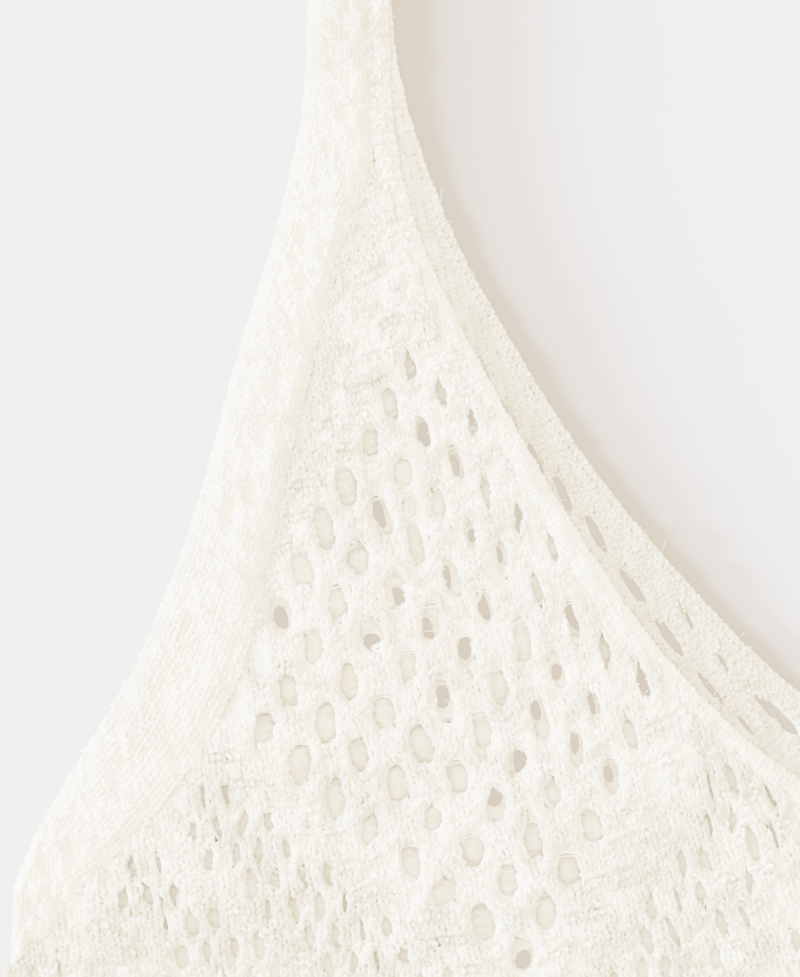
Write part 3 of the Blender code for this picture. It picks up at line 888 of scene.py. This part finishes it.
def band_stitches(rng):
    """The plain stitches of the armhole band in the picture, in columns along the armhole."""
    i, j, rows = stitches_along(ARMHOLE_CURVE, BAND_COLUMNS, COURSE)
    outer, inner = spread(ARMHOLE_CURVE, ARMHOLE_POINTS), spread(BAND_CURVE, ARMHOLE_POINTS)
    u, v, height, tone, _ = loops(i, j, np.full(i.size, BAND_FACE), [], (1, 1), rng, EDGE_RAGGED)
    share = u / BAND_COLUMNS
    half, drop = between(share, v / rows, outer, inner)
    free = ramp(*BAND_EDGE_KEPT, np.interp(drop, outer[:, 1], outer[:, 0]) - half)
    moved = whole_aside(half, drop, BAND_SLITS)
    half, drop = half + (moved[0] - half) * free, drop + (moved[1] - drop) * free
    lines = to_frame(-half, drop, band_height(np.clip(share, 0, 1)) + height)
    keep = in_picture(lines) & clear_of(half, drop, BAND_SLITS)
    lines, tone = lines[keep], tone[keep]
    drop, share = drop[keep, LOOP_MIDDLE], share[keep, LOOP_MIDDLE]
    tone = BAND_TONE[0] + BAND_TONE[1] * tone + STRAP_TONE * ramp(*STRAP_SHADE, drop)
    # painted shade of the groove by the band's seam
    tone += painted_groove_shade((1 - share) * BAND_WIDTH, drop)
    return tubes("left_band_stitches", lines, BAND_YARN * yarn_radius(len(lines), rng), tone)


def band_height(share):
    """Height of a band's middle line, from its outer edge to its seam: the edge rolls under."""
    rise, crown = BAND_RISE
    rolled = 1 - np.clip(share / BAND_ROLL, 0, 1)
    dip, start, end = BAND_SEAM
    return FRONT_BASE + rise + crown * np.sqrt(np.clip(1 - rolled**2, 0, 1)) - dip * ramp(start, end, share)


def binding_stitches(rng):
    """The narrow edge of the front neckline, ridged up to where the neck opens out."""
    edge = smooth_curve(FRONT_NECK, 2)
    i, j, rows = stitches_along(edge, BINDING_COLUMNS, BINDING_ROW)
    outer = spread(edge, CURVE_POINTS)
    face = np.where((j.astype(int) % 2 == 0) & (j * BINDING_ROW < RIDGED_RUN), RIDGE_TURN, 1)
    u, v, height, tone, _ = loops(i, j, face, [], (1, 1), rng, EDGE_RAGGED)
    share = u / BINDING_COLUMNS
    half, drop = between(share, v / rows, outer, shifted(outer, BINDING + BINDING_LAP))
    rise, crown = BINDING_CROWN
    middle = FRONT_BASE + rise + crown * np.sin(np.clip(share, 0, 1) * math.pi)
    lines = to_frame(-half, drop, middle + height)
    keep = in_picture(lines)
    drop, share = drop[:, LOOP_MIDDLE], share[:, LOOP_MIDDLE]
    # the part beside the band is painted shade of the groove there
    darker = BINDING_STRAP[0] + BINDING_STRAP[1] * ramp(*BINDING_BESIDE, share)
    tone = BINDING_TONE[0] + BINDING_TONE[1] * tone + darker * ramp(*BINDING_SHADE, drop)
    return tubes("neck_binding_stitches", lines[keep], yarn_radius(keep.sum(), rng), tone[keep])


def mirrored(slits):
    """Slits given by their half, on the left and on the right."""
    found = []
    for x, y, wide, high, lean, bend in slits:
        found += [(side * x, y, wide, high, side * lean, side * bend) for side in (-1, 1)]
    return found


def back_strip_stitches(knit, rng):
    """The wrong side of the back, where it shows above the front neckline, with its finished edge."""
    across, down = stitch_block(*STRIP_BLOCK)
    side, drop = knit.place(across, down)
    half, (inner, outer) = abs(side), STRIP_REACH
    keep = in_view(side, drop) & (drop > STRIP_TOP)
    keep &= (half > half_at(BACK_NECK_CURVE, drop) + inner) & (half < half_at(FRONT_NECK_CURVE, drop) + outer)
    slits = mirrored(SLITS)
    across, down = across[keep], down[keep]
    face = np.full(len(across), STRIP_FACE)
    u, v, height, tone, _ = loops(across / WALE, down / COURSE, face, [], (1, 1), rng, STRIP_RAGGED)
    side, drop = whole_aside(*knit.place(u * WALE, v * COURSE), slits)
    clear = clear_of(side, drop, slits)
    lines, tones = to_frame(side, drop, STRIP_HEIGHT + height)[clear], tone[clear]

    edge = spread(smooth_curve(BACK_NECK, 2), CURVE_POINTS)
    i, j, rows = stitches_along(edge, EDGE_COLUMNS, EDGE_ROW)
    u, v, height, tone, _ = loops(i, j, np.full(i.size, EDGE_FACE), [], (1, 1), rng, EDGE_RAGGED)
    half, drop = between(EDGE_COLUMN * u, v / rows, edge, shifted(edge, 1.0))
    edge_lines = to_frame(-half, drop, STRIP_HEIGHT + EDGE_RISE + height)
    keep = in_picture(edge_lines)
    lines, tones = np.concatenate([lines, edge_lines[keep]]), np.concatenate([tones, tone[keep]])
    drop = LENGTH / 2 - lines[:, LOOP_MIDDLE, 1]
    from_front = half_at(FRONT_NECK_CURVE, drop) - abs(lines[:, LOOP_MIDDLE, 0])
    (deeper, *drops), (paler, *edges) = STRIP_DEEPER, STRIP_PALER
    low, span = STRIP_TONE
    # deep in painted shade, and paler beside the front's edge by painted light
    tones = low + deeper * ramp(*drops, drop) - paler * ramp(*edges, from_front) + span * tones
    return tubes("back_neck_stitches", lines, STRIP_YARN * yarn_radius(len(lines), rng), tones)


def net_threads(knit, gaps, rng):
    """The thin threads that run level across the top of the net's gaps."""
    lines, share = [], np.linspace(-1, 1, LOOP_STEPS + 1)
    (first, lower), (shift, slope) = THREAD_LEVEL, THREAD_ASTRAY
    bowed = 1 - share**2
    for x, y, wide, high, _, _ in gaps:
        side, drop = knit.place(np.float64(x), np.float64(y))
        if not (in_view(side, drop, 0) and within(side, drop, FRONT_NECK_CURVE)):
            continue
        for number in range(rng.integers(0, THREADS_MOST + 1)):
            level = y - high * (first - lower * number) + rng.uniform(-shift, shift)
            down = level - THREAD_BOW[0] * bowed + rng.uniform(-slope, slope) * share
            side, drop = knit.place(x + share * wide, down)
            height = FRONT_BASE + CLOTH + THREAD_RISE - THREAD_BOW[1] * bowed + rng.uniform(*THREAD_HEIGHTS)
            lines.append(to_frame(side, drop, height))
    return tubes("net_threads", np.array(lines), THREAD, rng.uniform(*THREAD_TONES, len(lines)), sides=3)


def stray_fibres(pieces, rng):
    """Short fibres that stand out of the yarn all over."""
    starts, ways = [], []
    for piece in pieces:
        count = len(piece.data.vertices)
        places, normals = np.empty(count * 3, np.float32), np.empty(count * 3, np.float32)
        piece.data.vertices.foreach_get("co", places)
        piece.data.vertices.foreach_get("normal", normals)
        picked = rng.choice(count, count // FIBRE_EVERY, replace=False)
        starts.append(places.reshape(-1, 3)[picked] / MM)
        ways.append(normals.reshape(-1, 3)[picked])
    start, way = np.concatenate(starts)[:, None], np.concatenate(ways)[:, None]
    keep = way[:, 0, 2] > FIBRE_DOWN
    start, way = start[keep], way[keep]
    share = np.linspace(0, 1, FIBRE_POINTS)[None, :, None]
    length = rng.uniform(*FIBRE_LENGTH, (len(start), 1, 1))
    out, astray, astray_up = FIBRE_OUT
    first = out * way + rng.normal(0, astray, start.shape) * (1, 1, astray_up)
    curl = rng.normal(0, FIBRE_CURL[0], start.shape) * (1, 1, FIBRE_CURL[1])
    lines = start + length * (share * first + share**2 * curl)
    lines[:, :, 2] = np.maximum(lines[:, :, 2], FIBRE_LOWEST)
    return tubes("stray_fibres", lines, FIBRE, rng.uniform(0, FIBRE_TONE, len(lines)), flat=1.0, sides=3)


# ---------------------------------------------------------------- thin shells
FILL_STEP = 9.0  # distance between the points that fill a panel
FILL_EDGE = (2.0, 3.0)  # they start this far below its tips and end this far above the hem
SEAM_START = 4.0  # a panel's side starts this far below its band
SCOOP_POINTS = 72
TIP_WIDTH = 1.2  # width of the panel's tips in the straps
HEM_POINTS = 60
BAND_SECTIONS = 60
NECK_SECTIONS = 70
RIM_SINK = 0.8 * STRAND_ROUND  # how far the gaps' rims sink under the stitches
LOWEST = 0.1  # no shell goes nearer to the floor
COVER_EDGE = (4.0, 2.0)  # the picture's stitches end from this far outside it to this far inside
SHELL_UNEVEN = 0.5  # share of the stitches' unevenness that the front's shell has
UNEVEN_START = (60.0, 80.0)  # drops between which that sets in
KNIT_SINK = 0.12  # how far the front's shell sinks where stitches cover it
STRIP_SINK = 0.5  # and how far the back's does
STRIP_COVER = ((34.0, 28.0), (40.0, 46.0))  # it sinks so near its neck, and below such a drop
BAND_SINK = 0.45  # share by which the bands are thinner where stitches lie on them
BAND_PITCH = (2.2, 3.0)  # stitches of the surface between two points across a band, and rows along it
PROFILE = [  # a band's section: share of its width, share of its thickness
    (0.0, 0.5),
    (0.06, 0.85),
    (0.2, 1.0),
    (0.8, 1.0),
    (0.95, 0.85),
    (1.0, 0.5),
    (0.92, 0.12),
    (0.7, 0.0),
    (0.3, 0.0),
    (0.08, 0.12),
]
TURNS = [math.pi * k / 8 for k in range(1, 8)]  # sections round the shoulder fold


def inside(point, polygon):
    """Whether a point lies in a closed polygon."""
    x, y = point
    ax, ay = polygon[:, 0], polygon[:, 1]
    bx, by = np.roll(ax, -1), np.roll(ay, -1)
    crossing = (ay > y) != (by > y)
    with np.errstate(divide="ignore", invalid="ignore"):
        at = ax + (y - ay) * (bx - ax) / (by - ay)
    return np.count_nonzero(crossing & (x < at)) % 2 == 1


def panel_outline(neck):
    """A panel's edge, all round, as (side, drop)."""
    side = smooth_curve(OUTLINE, 8)
    side = side[side[:, 1] > BAND_EDGE[-1][1] + SEAM_START]
    armhole = smooth_curve(BAND_EDGE, 6)
    scoop = shifted(spread(neck, SCOOP_POINTS), BINDING)
    tip = np.argmax(armhole[:, 0] - np.interp(armhole[:, 1], scoop[:, 1], scoop[:, 0]) > TIP_WIDTH)
    armhole = armhole[tip:]
    scoop = scoop[scoop[:, 1] > armhole[0, 1] + 1]
    right = np.concatenate([side[::-1], armhole[::-1], scoop])
    hem_sides = np.linspace(-side[-1, 0], side[-1, 0], HEM_POINTS)[1:-1]
    hem = np.stack([hem_sides, np.full(HEM_POINTS - 2, LENGTH)], 1)
    left = right[::-1][right[::-1][:, 0] > 0] * (-1, 1)
    return np.concatenate([hem, right, left])


def filling(taken, outline):
    """Points (side, drop) that fill a panel, clear of the points on its edges."""
    found, widest = [], OUTLINE[-1][2] + 1
    for row, drop in enumerate(np.arange(PANEL_TIP + FILL_EDGE[0], LENGTH - FILL_EDGE[1], FILL_STEP)):
        for side in np.arange(-widest, widest, FILL_STEP) + FILL_STEP / 2 * (row % 2):
            clear = np.hypot(taken[:, 0] - side, taken[:, 1] - drop).min() > FILL_STEP / 2
            if clear and inside((side, drop), outline):
                found.append((side, drop))
    return found


def panel_shell(name, knit, neck, gaps, plain_gaps, margin, slits, base, height, thickness):
    """A panel as a thin shell with its lace gaps and slits cut through."""
    outline = panel_outline(neck)
    points = [tuple(p) for p in outline]
    edges = [(k, (k + 1) % len(points)) for k in range(len(points))]
    gap_of = {}
    cuts = [np.stack(gap_outline(slit, 0.0), 1) for slit in slits]
    cuts += [np.stack(knit.place(*gap_outline(gap, margin)), 1) for gap in gaps]
    cuts += [np.stack(knit.place(*gap_outline(gap, 0.0, PLAIN_SHAPE)), 1) for gap in plain_gaps]
    for number, loop in enumerate(cuts):
        if not within(loop[:, 0], loop[:, 1], neck).all():
            continue
        start = len(points)
        points += [tuple(p) for p in loop]
        edges += [(start + k, start + (k + 1) % len(loop)) for k in range(len(loop))]
        gap_of.update({start + k: number for k in range(len(loop))})
    points += filling(np.array(points), outline)
    made, _, faces, origin, _, _ = delaunay_2d_cdt([Vector(p) for p in points], edges, [], 0, 1e-4, True)
    made = np.array([tuple(p) for p in made])
    gap = [gap_of.get(ids[0]) if ids else None for ids in origin]
    kept = []
    for face in faces:
        owners = {gap[k] for k in face}
        in_a_gap = len(owners) == 1 and None not in owners
        if not in_a_gap and inside(made[list(face)].mean(axis=0), outline):
            kept.append(face)
    kept = np.array(kept)
    corners = made[kept]
    spin = np.cross(corners[:, 1] - corners[:, 0], corners[:, 2] - corners[:, 0])
    kept[spin > 0] = kept[spin > 0][:, ::-1]
    z = base + height(made[:, 0], made[:, 1])
    if base:
        rim = np.array([k is not None for k in gap])
        z -= RIM_SINK * rim * under_stitches(made[:, 0], made[:, 1])
    across, down = knit.made(made[:, 0], made[:, 1])
    uv = np.stack([across / WALE, down / COURSE], 1)[kept].reshape(-1, 2)
    used, kept = np.unique(kept, return_inverse=True)
    obj = mesh_object(name, to_frame(made[used, 0], made[used, 1], z[used]), kept.reshape(-1, 3), uv)
    wall = obj.modifiers.new("thickness", "SOLIDIFY")
    wall.thickness = thickness * MM
    wall.offset = -1
    apply(obj, wall)
    for vertex in obj.data.vertices:
        vertex.co.z = max(vertex.co.z, LOWEST * MM)
    return obj


def apply(obj, modifier):
    """Applies one modifier."""
    bpy.ops.object.select_all(action="DESELECT")
    obj.select_set(True)
    bpy.context.view_layer.objects.active = obj
    bpy.ops.object.modifier_apply(modifier=modifier.name)


def under_stitches(side, drop):
    """1 where the picture's loops of yarn cover the shell, and 0 away from them."""
    outside, within_it = COVER_EDGE
    cover = 1.0
    for low, high, place in zip(VIEW_LOW, VIEW_HIGH, (side, drop)):
        cover = cover * ramp(low - outside, low + within_it, place)
        cover = cover * ramp(high + outside, high - within_it, place)
    return cover


def front_height(side, drop):
    """Top of the front shell over its base."""
    rise = lift(side, drop) + SHELL_UNEVEN * unevenness(side, drop) * ramp(*UNEVEN_START, drop)
    return CLOTH + rise - (KNIT_SINK + seam_dip(side, drop)) * under_stitches(side, drop)


def back_height(side, drop):
    """Top of the back shell, lower where the picture's stitches lie on it."""
    by_neck, by_drop = STRIP_COVER
    strip = ramp(*by_neck, abs(side) - half_at(BACK_NECK_CURVE, drop)) * ramp(*by_drop, drop)
    return CLOTH - STRIP_SINK * strip * under_stitches(side, drop)


def strip_shell(name, sections, closed):
    """A band or binding: sections of points in order, skinned."""
    sections = np.array(sections)
    count, ring, _ = sections.shape
    index = np.arange(count * ring).reshape(count, ring)
    after = np.roll(index, -1, axis=0) if closed else index[1:]
    index = index if closed else index[:-1]
    quads = np.stack([index, np.roll(index, -1, 1), np.roll(after, -1, 1), after], -1).reshape(-1, 4)
    wide, long = BAND_PITCH
    u0 = np.broadcast_to(np.arange(ring) * wide, index.shape)
    v0 = np.broadcast_to(np.arange(len(index))[:, None] * long, index.shape)
    corners = [(u0, v0), (u0 + wide, v0), (u0 + wide, v0 + long), (u0, v0 + long)]
    uv = np.stack([np.stack(corner, -1) for corner in corners], -2)
    return mesh_object(name, sections.reshape(-1, 3), quads, uv.reshape(-1, 2))


def layer_section(outer, inner, side, base, turned=False, sunk=BAND_SINK):
    """A rounded section of a band in one layer, thinner where stitches lie on it."""
    thickness = CLOTH * (1 - sunk * under_stitches(side * outer[0], outer[1]))
    return [
        to_frame(
            np.float64(side * (outer[0] + (inner[0] - outer[0]) * s)),
            np.float64(outer[1] + (inner[1] - outer[1]) * s),
            base + thickness * (1 - h if turned else h),
        )
        for s, h in PROFILE
    ]


def shoulder_section(outer_half, inner_half, side, turn):
    """A section part way round the shoulder fold."""
    section = []
    for s, h in PROFILE:
        radius = LAYER_GAP / 2 + CLOTH * h
        section.append(
            (
                side * (outer_half + (inner_half - outer_half) * s),
                LENGTH / 2 + math.sin(turn) * radius,
                FOLD_AXIS + math.cos(turn) * radius,
            )
        )
    return section


def band_shell(name, side):
    """An armhole band: front, over the shoulder, and back."""
    outer, inner = spread(ARMHOLE_CURVE, BAND_SECTIONS), spread(BAND_CURVE, BAND_SECTIONS)
    front = [layer_section(a, b, side, FRONT_BASE, sunk=0.0) for a, b in zip(outer, inner)]
    back = [layer_section(a, b, side, 0.0, True) for a, b in zip(outer, inner)]
    over = [shoulder_section(outer[0][0], inner[0][0], side, turn) for turn in TURNS]
    return strip_shell(name, front[::-1] + over + back, False)


def binding_shell(name):
    """The neck binding, a closed ring."""
    front, back = spread(FRONT_NECK_CURVE, NECK_SECTIONS), spread(BACK_NECK_CURVE, NECK_SECTIONS)
    front_in, back_in = shifted(front, BINDING), shifted(back, BINDING)
    sections = [layer_section(b, a, 1, FRONT_BASE) for a, b in zip(front, front_in)][::-1]
    sections += [shoulder_section(front_in[0][0], front[0][0], 1, t) for t in TURNS]
    sections += [layer_section(b, a, 1, 0.0, True) for a, b in zip(back, back_in)]
    sections += [layer_section(b, a, -1, 0.0, True) for a, b in zip(back, back_in)][-2::-1]
    sections += [shoulder_section(front_in[0][0], front[0][0], -1, t) for t in TURNS[::-1]]
    sections += [layer_section(b, a, -1, FRONT_BASE) for a, b in zip(front, front_in)][:-1]
    return strip_shell(name, sections, True)


# ---------------------------------------------------------------- materials
class Shader:
    """A material's nodes, added by name and joined as they are made."""

    def __init__(self, name):
        self.material = bpy.data.materials.new(name)
        self.material.use_nodes = True
        self.tree = self.material.node_tree
        self.surface = self.tree.nodes["Principled BSDF"]

    def add(self, kind, inputs=(), **settings):
        node = self.tree.nodes.new(kind)
        for key, value in settings.items():
            setattr(node, key, value)
        for key, value in dict(inputs).items():
            self.put(node.inputs[key], value)
        return node

    def put(self, socket, value):
        if isinstance(value, bpy.types.NodeSocket):
            self.tree.links.new(value, socket)
        else:
            socket.default_value = value

    def math(self, operation, a, b=0.0):
        return self.add("ShaderNodeMath", {0: a, 1: b}, operation=operation).outputs[0]

    def between(self, low, high, value):
        """A soft step from 0 to 1."""
        node = self.add("ShaderNodeMapRange", {"Value": value, "From Min": low, "From Max": high})
        node.interpolation_type = "SMOOTHSTEP"
        return node.outputs["Result"]

    def noise(self, scale, detail, output="Fac"):
        """A noise that lies still in the cloth."""
        place = self.add("ShaderNodeTexCoord").outputs["Object"]
        settings = {"Vector": place, "Scale": scale, "Detail": detail}
        return self.add("ShaderNodeTexNoise", settings).outputs[output]

    def mix(self, share, first, second):
        """A colour between two others."""
        return self.add("ShaderNodeMix", {0: share, 6: first, 7: second}, data_type="RGBA").outputs[2]

    def bump(self, strength, distance, height):
        """Raises the surface, by a distance in metres."""
        settings = {"Strength": strength, "Distance": distance, "Height": height}
        self.put(self.surface.inputs["Normal"], self.add("ShaderNodeBump", settings).outputs[0])


# The right side mottles between the first two creams; the wrong side uses the second and third, a painted
# shade of the same yarn lying under the front.
CREAM = (0.955, 0.935, 0.840, 1.0)
CREAM_MOTTLE_AND_SHADE = (0.870, 0.835, 0.700, 1.0)
CREAM_IN_PAINTED_SHADE = (0.700, 0.620, 0.430, 1.0)
CREAM_PAINTED_INSIDE_SHADE = (0.600, 0.560, 0.425, 1.0)  # painted shade of the wrong side, which little light reaches; the loops' own tones also run towards it
PLY_TWIST = 1.1  # millimetres of yarn in one turn of its plies


def yarn_material():
    """Soft cotton yarn of two plies, a little fuzzy; its tone goes from the lightest to a painted shade, as
    of the back's inside.
    """
    s = Shader("cream cotton yarn")
    parts = s.add("ShaderNodeSeparateXYZ", {0: s.add("ShaderNodeUVMap", uv_map="UVMap").outputs[0]})
    along, around = parts.outputs[0], parts.outputs[1]
    twist = s.math("MULTIPLY", along, 2 * math.pi / PLY_TWIST)
    ply = s.math("ABSOLUTE", s.math("SINE", s.math("ADD", twist, s.math("MULTIPLY", around, 4 * math.pi))))
    tone = s.add("ShaderNodeAttribute", attribute_name="tone").outputs["Fac"]
    mottle = s.math("MULTIPLY", s.math("SUBTRACT", s.noise(280.0, 1.0), 0.5), 0.7)
    s.put(s.surface.inputs["Base Color"], s.mix(s.math("ADD", tone, mottle), CREAM, CREAM_PAINTED_INSIDE_SHADE))
    fibre = s.math("MULTIPLY", s.noise(1500.0, 1.0), 0.6)
    s.bump(0.14, 0.0002, s.math("ADD", s.math("MULTIPLY", ply, 0.5), fibre))
    finish_cotton(s)
    return s.material


def finish_cotton(s):
    """Cotton's matt surface with a faint bloom."""
    s.surface.inputs["Roughness"].default_value = 0.95
    s.surface.inputs["Specular IOR Level"].default_value = 0.15
    s.surface.inputs["Sheen Weight"].default_value = 0.25
    s.surface.inputs["Sheen Roughness"].default_value = 0.6


def v_stitches(s, i, j):
    """Height of the knit's right side, in columns of V-shaped stitches."""
    off_centre = s.math("ABSOLUTE", s.math("SUBTRACT", s.math("FRACT", i), 0.5))
    slant = s.math("ADD", j, s.math("MULTIPLY", off_centre, 1.3))
    leg = s.math("ABSOLUTE", s.math("SINE", s.math("MULTIPLY", slant, math.pi)))
    furrow = s.between(0.0, 0.16, s.math("SUBTRACT", 0.5, off_centre))
    middle = s.between(0.0, 0.12, off_centre)
    whole = s.math("ADD", s.math("MULTIPLY", middle, 0.6), 0.4)
    return s.math("MULTIPLY", s.math("MULTIPLY", leg, furrow), whole)


def level_bumps(s, i, j):
    """Height of the knit's wrong side, in level rows that bow a little in each stitch."""
    wave = s.math("COSINE", s.math("MULTIPLY", i, 2 * math.pi))
    bowed = s.math("ADD", j, s.math("MULTIPLY", wave, 0.14))
    rung = s.math("ABSOLUTE", s.math("SINE", s.math("MULTIPLY", bowed, math.pi)))
    return s.math("MULTIPLY", rung, s.math("ADD", s.math("MULTIPLY", wave, 0.25), 0.5))


def knit_material(wrong_side=False):
    """The knit seen as a surface: columns of V-shaped stitches, or the level bumps of its wrong side, in
    painted shade.
    """
    s = Shader("cream cotton knit wrong side in painted shade" if wrong_side else "cream cotton knit")
    uv = s.add("ShaderNodeUVMap", uv_map="UVMap").outputs[0]
    shares = {0: 0.3 if wrong_side else 0.12, 4: uv, 5: s.noise(260.0, 1.0, "Color")}
    bent = s.add("ShaderNodeMix", shares, data_type="VECTOR", blend_type="MIX").outputs[1]
    parts = s.add("ShaderNodeSeparateXYZ", {0: bent})
    i, j = parts.outputs[0], parts.outputs[1]
    slub = s.noise(420.0, 3.0)
    if wrong_side:
        # the wrong side is painted in shade, and painted darker still in the hollows between its bumps
        stitch, pale, deep = level_bumps(s, i, j), CREAM_MOTTLE_AND_SHADE, CREAM_IN_PAINTED_SHADE
        painted_hollow_shade = s.math("MULTIPLY", s.math("SUBTRACT", 1.0, stitch), 0.3)
        slub = s.math("ADD", s.math("MULTIPLY", s.between(0.34, 0.68, slub), 0.7), painted_hollow_shade)
    else:
        stitch, pale, deep = v_stitches(s, i, j), CREAM, CREAM_MOTTLE_AND_SHADE
    s.put(s.surface.inputs["Base Color"], s.mix(slub, pale, deep))
    s.bump(0.7, 0.0005, s.math("ADD", stitch, s.math("MULTIPLY", s.noise(700.0, 3.0), 1.1)))
    finish_cotton(s)
    return s.material


FLOOR_GREY = (0.083, 0.083, 0.083, 1.0)
FLOOR_GLOW = (1.0, 0.742, 0.426, 1.0)  # the floor glows a little, as a light table does
FLOOR_GLOW_STRENGTH = 1.55


def floor_material():
    """A plain floor, pale under the lamps."""
    s = Shader("pale floor")
    s.surface.inputs["Base Color"].default_value = FLOOR_GREY
    s.surface.inputs["Roughness"].default_value = 1.0
    s.surface.inputs["Specular IOR Level"].default_value = 0.0
    s.surface.inputs["Emission Color"].default_value = FLOOR_GLOW
    s.surface.inputs["Emission Strength"].default_value = FLOOR_GLOW_STRENGTH
    return s.material


# ---------------------------------------------------------------- the dress
EYELETS_SEEN = 8.0  # eyelets as far outside the picture as this are cut in full
NET_SEEN = 20.0  # and gaps of the net this far outside it draw its stitches aside
GAP_MARGIN = 0.3  # the front's shell ends this far outside a gap, behind the yarn
FRONT_WALL = 0.5  # thickness of the shell that lies under the front's stitches
BACK_WALL = 1.7
INNER_FACE = 0.3  # least share by which a face looks up or down to show the wrong side


def dress():
    """Makes every piece of the dress."""
    rng = np.random.default_rng(SEED)
    front, back = Knit(FRONT_NECK_CURVE), Knit(BACK_NECK_CURVE)
    net, small = net_gaps(front), eyelets()
    _, drop = front.place(small[:, 0], small[:, 1])
    small = small[drop > CLOSE_TIP]
    shown = in_view(*front.place(small[:, 0], small[:, 1]), EYELETS_SEEN)
    seen, unseen = small[shown], small[~shown]
    unseen = unseen[from_diamonds(unseen[:, 0], unseen[:, 1]) < EYELET_BANDS[0][1]]
    net_seen = net[in_view(*front.place(net[:, 0], net[:, 1]), NET_SEEN)]
    yarn = yarn_material()
    knit, wrong = knit_material(), knit_material(True)

    cuts = (np.concatenate([net, seen]), unseen, GAP_MARGIN, [])
    shell = panel_shell(
        "front_panel_shell", front, FRONT_NECK_CURVE, *cuts, FRONT_BASE, front_height, FRONT_WALL
    )
    cuts = (behind(net, front, back), [], 0.0, mirrored(SLITS))
    back_shell = panel_shell("back_panel_shell", back, BACK_NECK_CURVE, *cuts, 0.0, back_height, BACK_WALL)
    left, right = band_shell("left_armhole_band_shell", -1), band_shell("right_armhole_band_shell", 1)
    binding = binding_shell("neck_binding_shell")
    stitches = front_stitches(front, np.concatenate([net_seen, seen]), rng)
    band = band_stitches(rng)
    edge = binding_stitches(rng)
    strip = back_strip_stitches(back, rng)
    threads = net_threads(front, net_seen, rng)
    fibres = stray_fibres((*stitches, band, edge, strip), rng)

    for piece in (shell, back_shell, left, right, binding):
        piece.data.materials.append(knit)
        piece.data.materials.append(wrong)
    for piece, inward in ((shell, -1), (back_shell, 1)):
        inner = [inward * face.normal.z > INNER_FACE for face in piece.data.polygons]
        piece.data.polygons.foreach_set("material_index", np.array(inner, np.int32))
    for piece in (*stitches, band, edge, strip, threads, fibres):
        piece.data.materials.append(yarn)
    for piece in (shell, back_shell, left, right, binding, *stitches, band, edge, strip, threads, fibres):
        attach(piece, "root")
    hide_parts("front_panel")
    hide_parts("back_panel")
    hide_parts("left_armhole_band")
    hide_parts("right_armhole_band")
    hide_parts("neck_binding")


FLOOR_SIZE = 12.0  # metres
FLOOR_HEIGHT = -0.0002


def floor():
    """The floor under the dress."""
    bpy.ops.mesh.primitive_plane_add(size=FLOOR_SIZE, location=(0, 0, FLOOR_HEIGHT))
    plane = bpy.context.object
    plane.name = "floor"
    plane.data.materials.append(floor_material())


LAMPS = [  # (name, degrees over the floor, turn from straight left, spread, energy, colour, floor only)
    ("broad lamp overhead", 76, -35, 60, 7.6, (1.0, 0.977, 0.826), False),
    ("raking lamp", 18, -14, 16, 24.0, (0.589, 0.723, 1.0), False),
    ("low lamp on the floor", 21, -10, 18, 137.0, (1.0, 0.775, 0.939), True),
    ("lowest lamp on the floor", 6.2, -6, 9.4, 1187.0, (0.636, 0.833, 1.0), True),
]
STUDIO_LIGHT = (1.0, 0.861, 0.487, 1.0)
STUDIO_STRENGTH = 6.6


def lights():
    """Soft light from above, and low wide lamps on the left that shade the floor inside the neck."""
    world = bpy.data.worlds.new("soft studio")
    bpy.context.scene.world = world
    world.use_nodes = True
    background = world.node_tree.nodes["Background"]
    background.inputs["Color"].default_value = STUDIO_LIGHT
    background.inputs["Strength"].default_value = STUDIO_STRENGTH
    only_floor = bpy.data.collections.new("floor only")
    only_floor.objects.link(bpy.data.objects["floor"])
    for name, rise, turn, spread_angle, energy, colour, linked in LAMPS:
        lamp = bpy.data.lights.new(name, "SUN")
        lamp.energy = energy
        lamp.angle = math.radians(spread_angle)
        lamp.color = colour
        obj = bpy.data.objects.new(name, lamp)
        obj.rotation_euler = (0, math.radians(rise - 90), math.radians(turn))
        if linked:
            obj.light_linking.receiver_collection = only_floor
        bpy.context.scene.collection.objects.link(obj)


def camera():
    """A camera straight above, with the photograph's frame."""
    middle = pixel(PICTURE[0] / 2, PICTURE[1] / 2)
    data = bpy.data.cameras.new("camera")
    data.sensor_fit = "VERTICAL"
    data.sensor_height = CAMERA_FILM
    data.lens = CAMERA_FILM * CAMERA_HEIGHT / (PICTURE[1] * PIXEL)
    data.clip_end = 100.0
    obj = bpy.data.objects.new("camera", data)
    obj.location = (middle[0] * MM, (LENGTH / 2 - middle[1]) * MM, CAMERA_HEIGHT * MM)
    bpy.context.scene.collection.objects.link(obj)
    bpy.context.scene.camera = obj


camera()
floor()
lights()
dress()
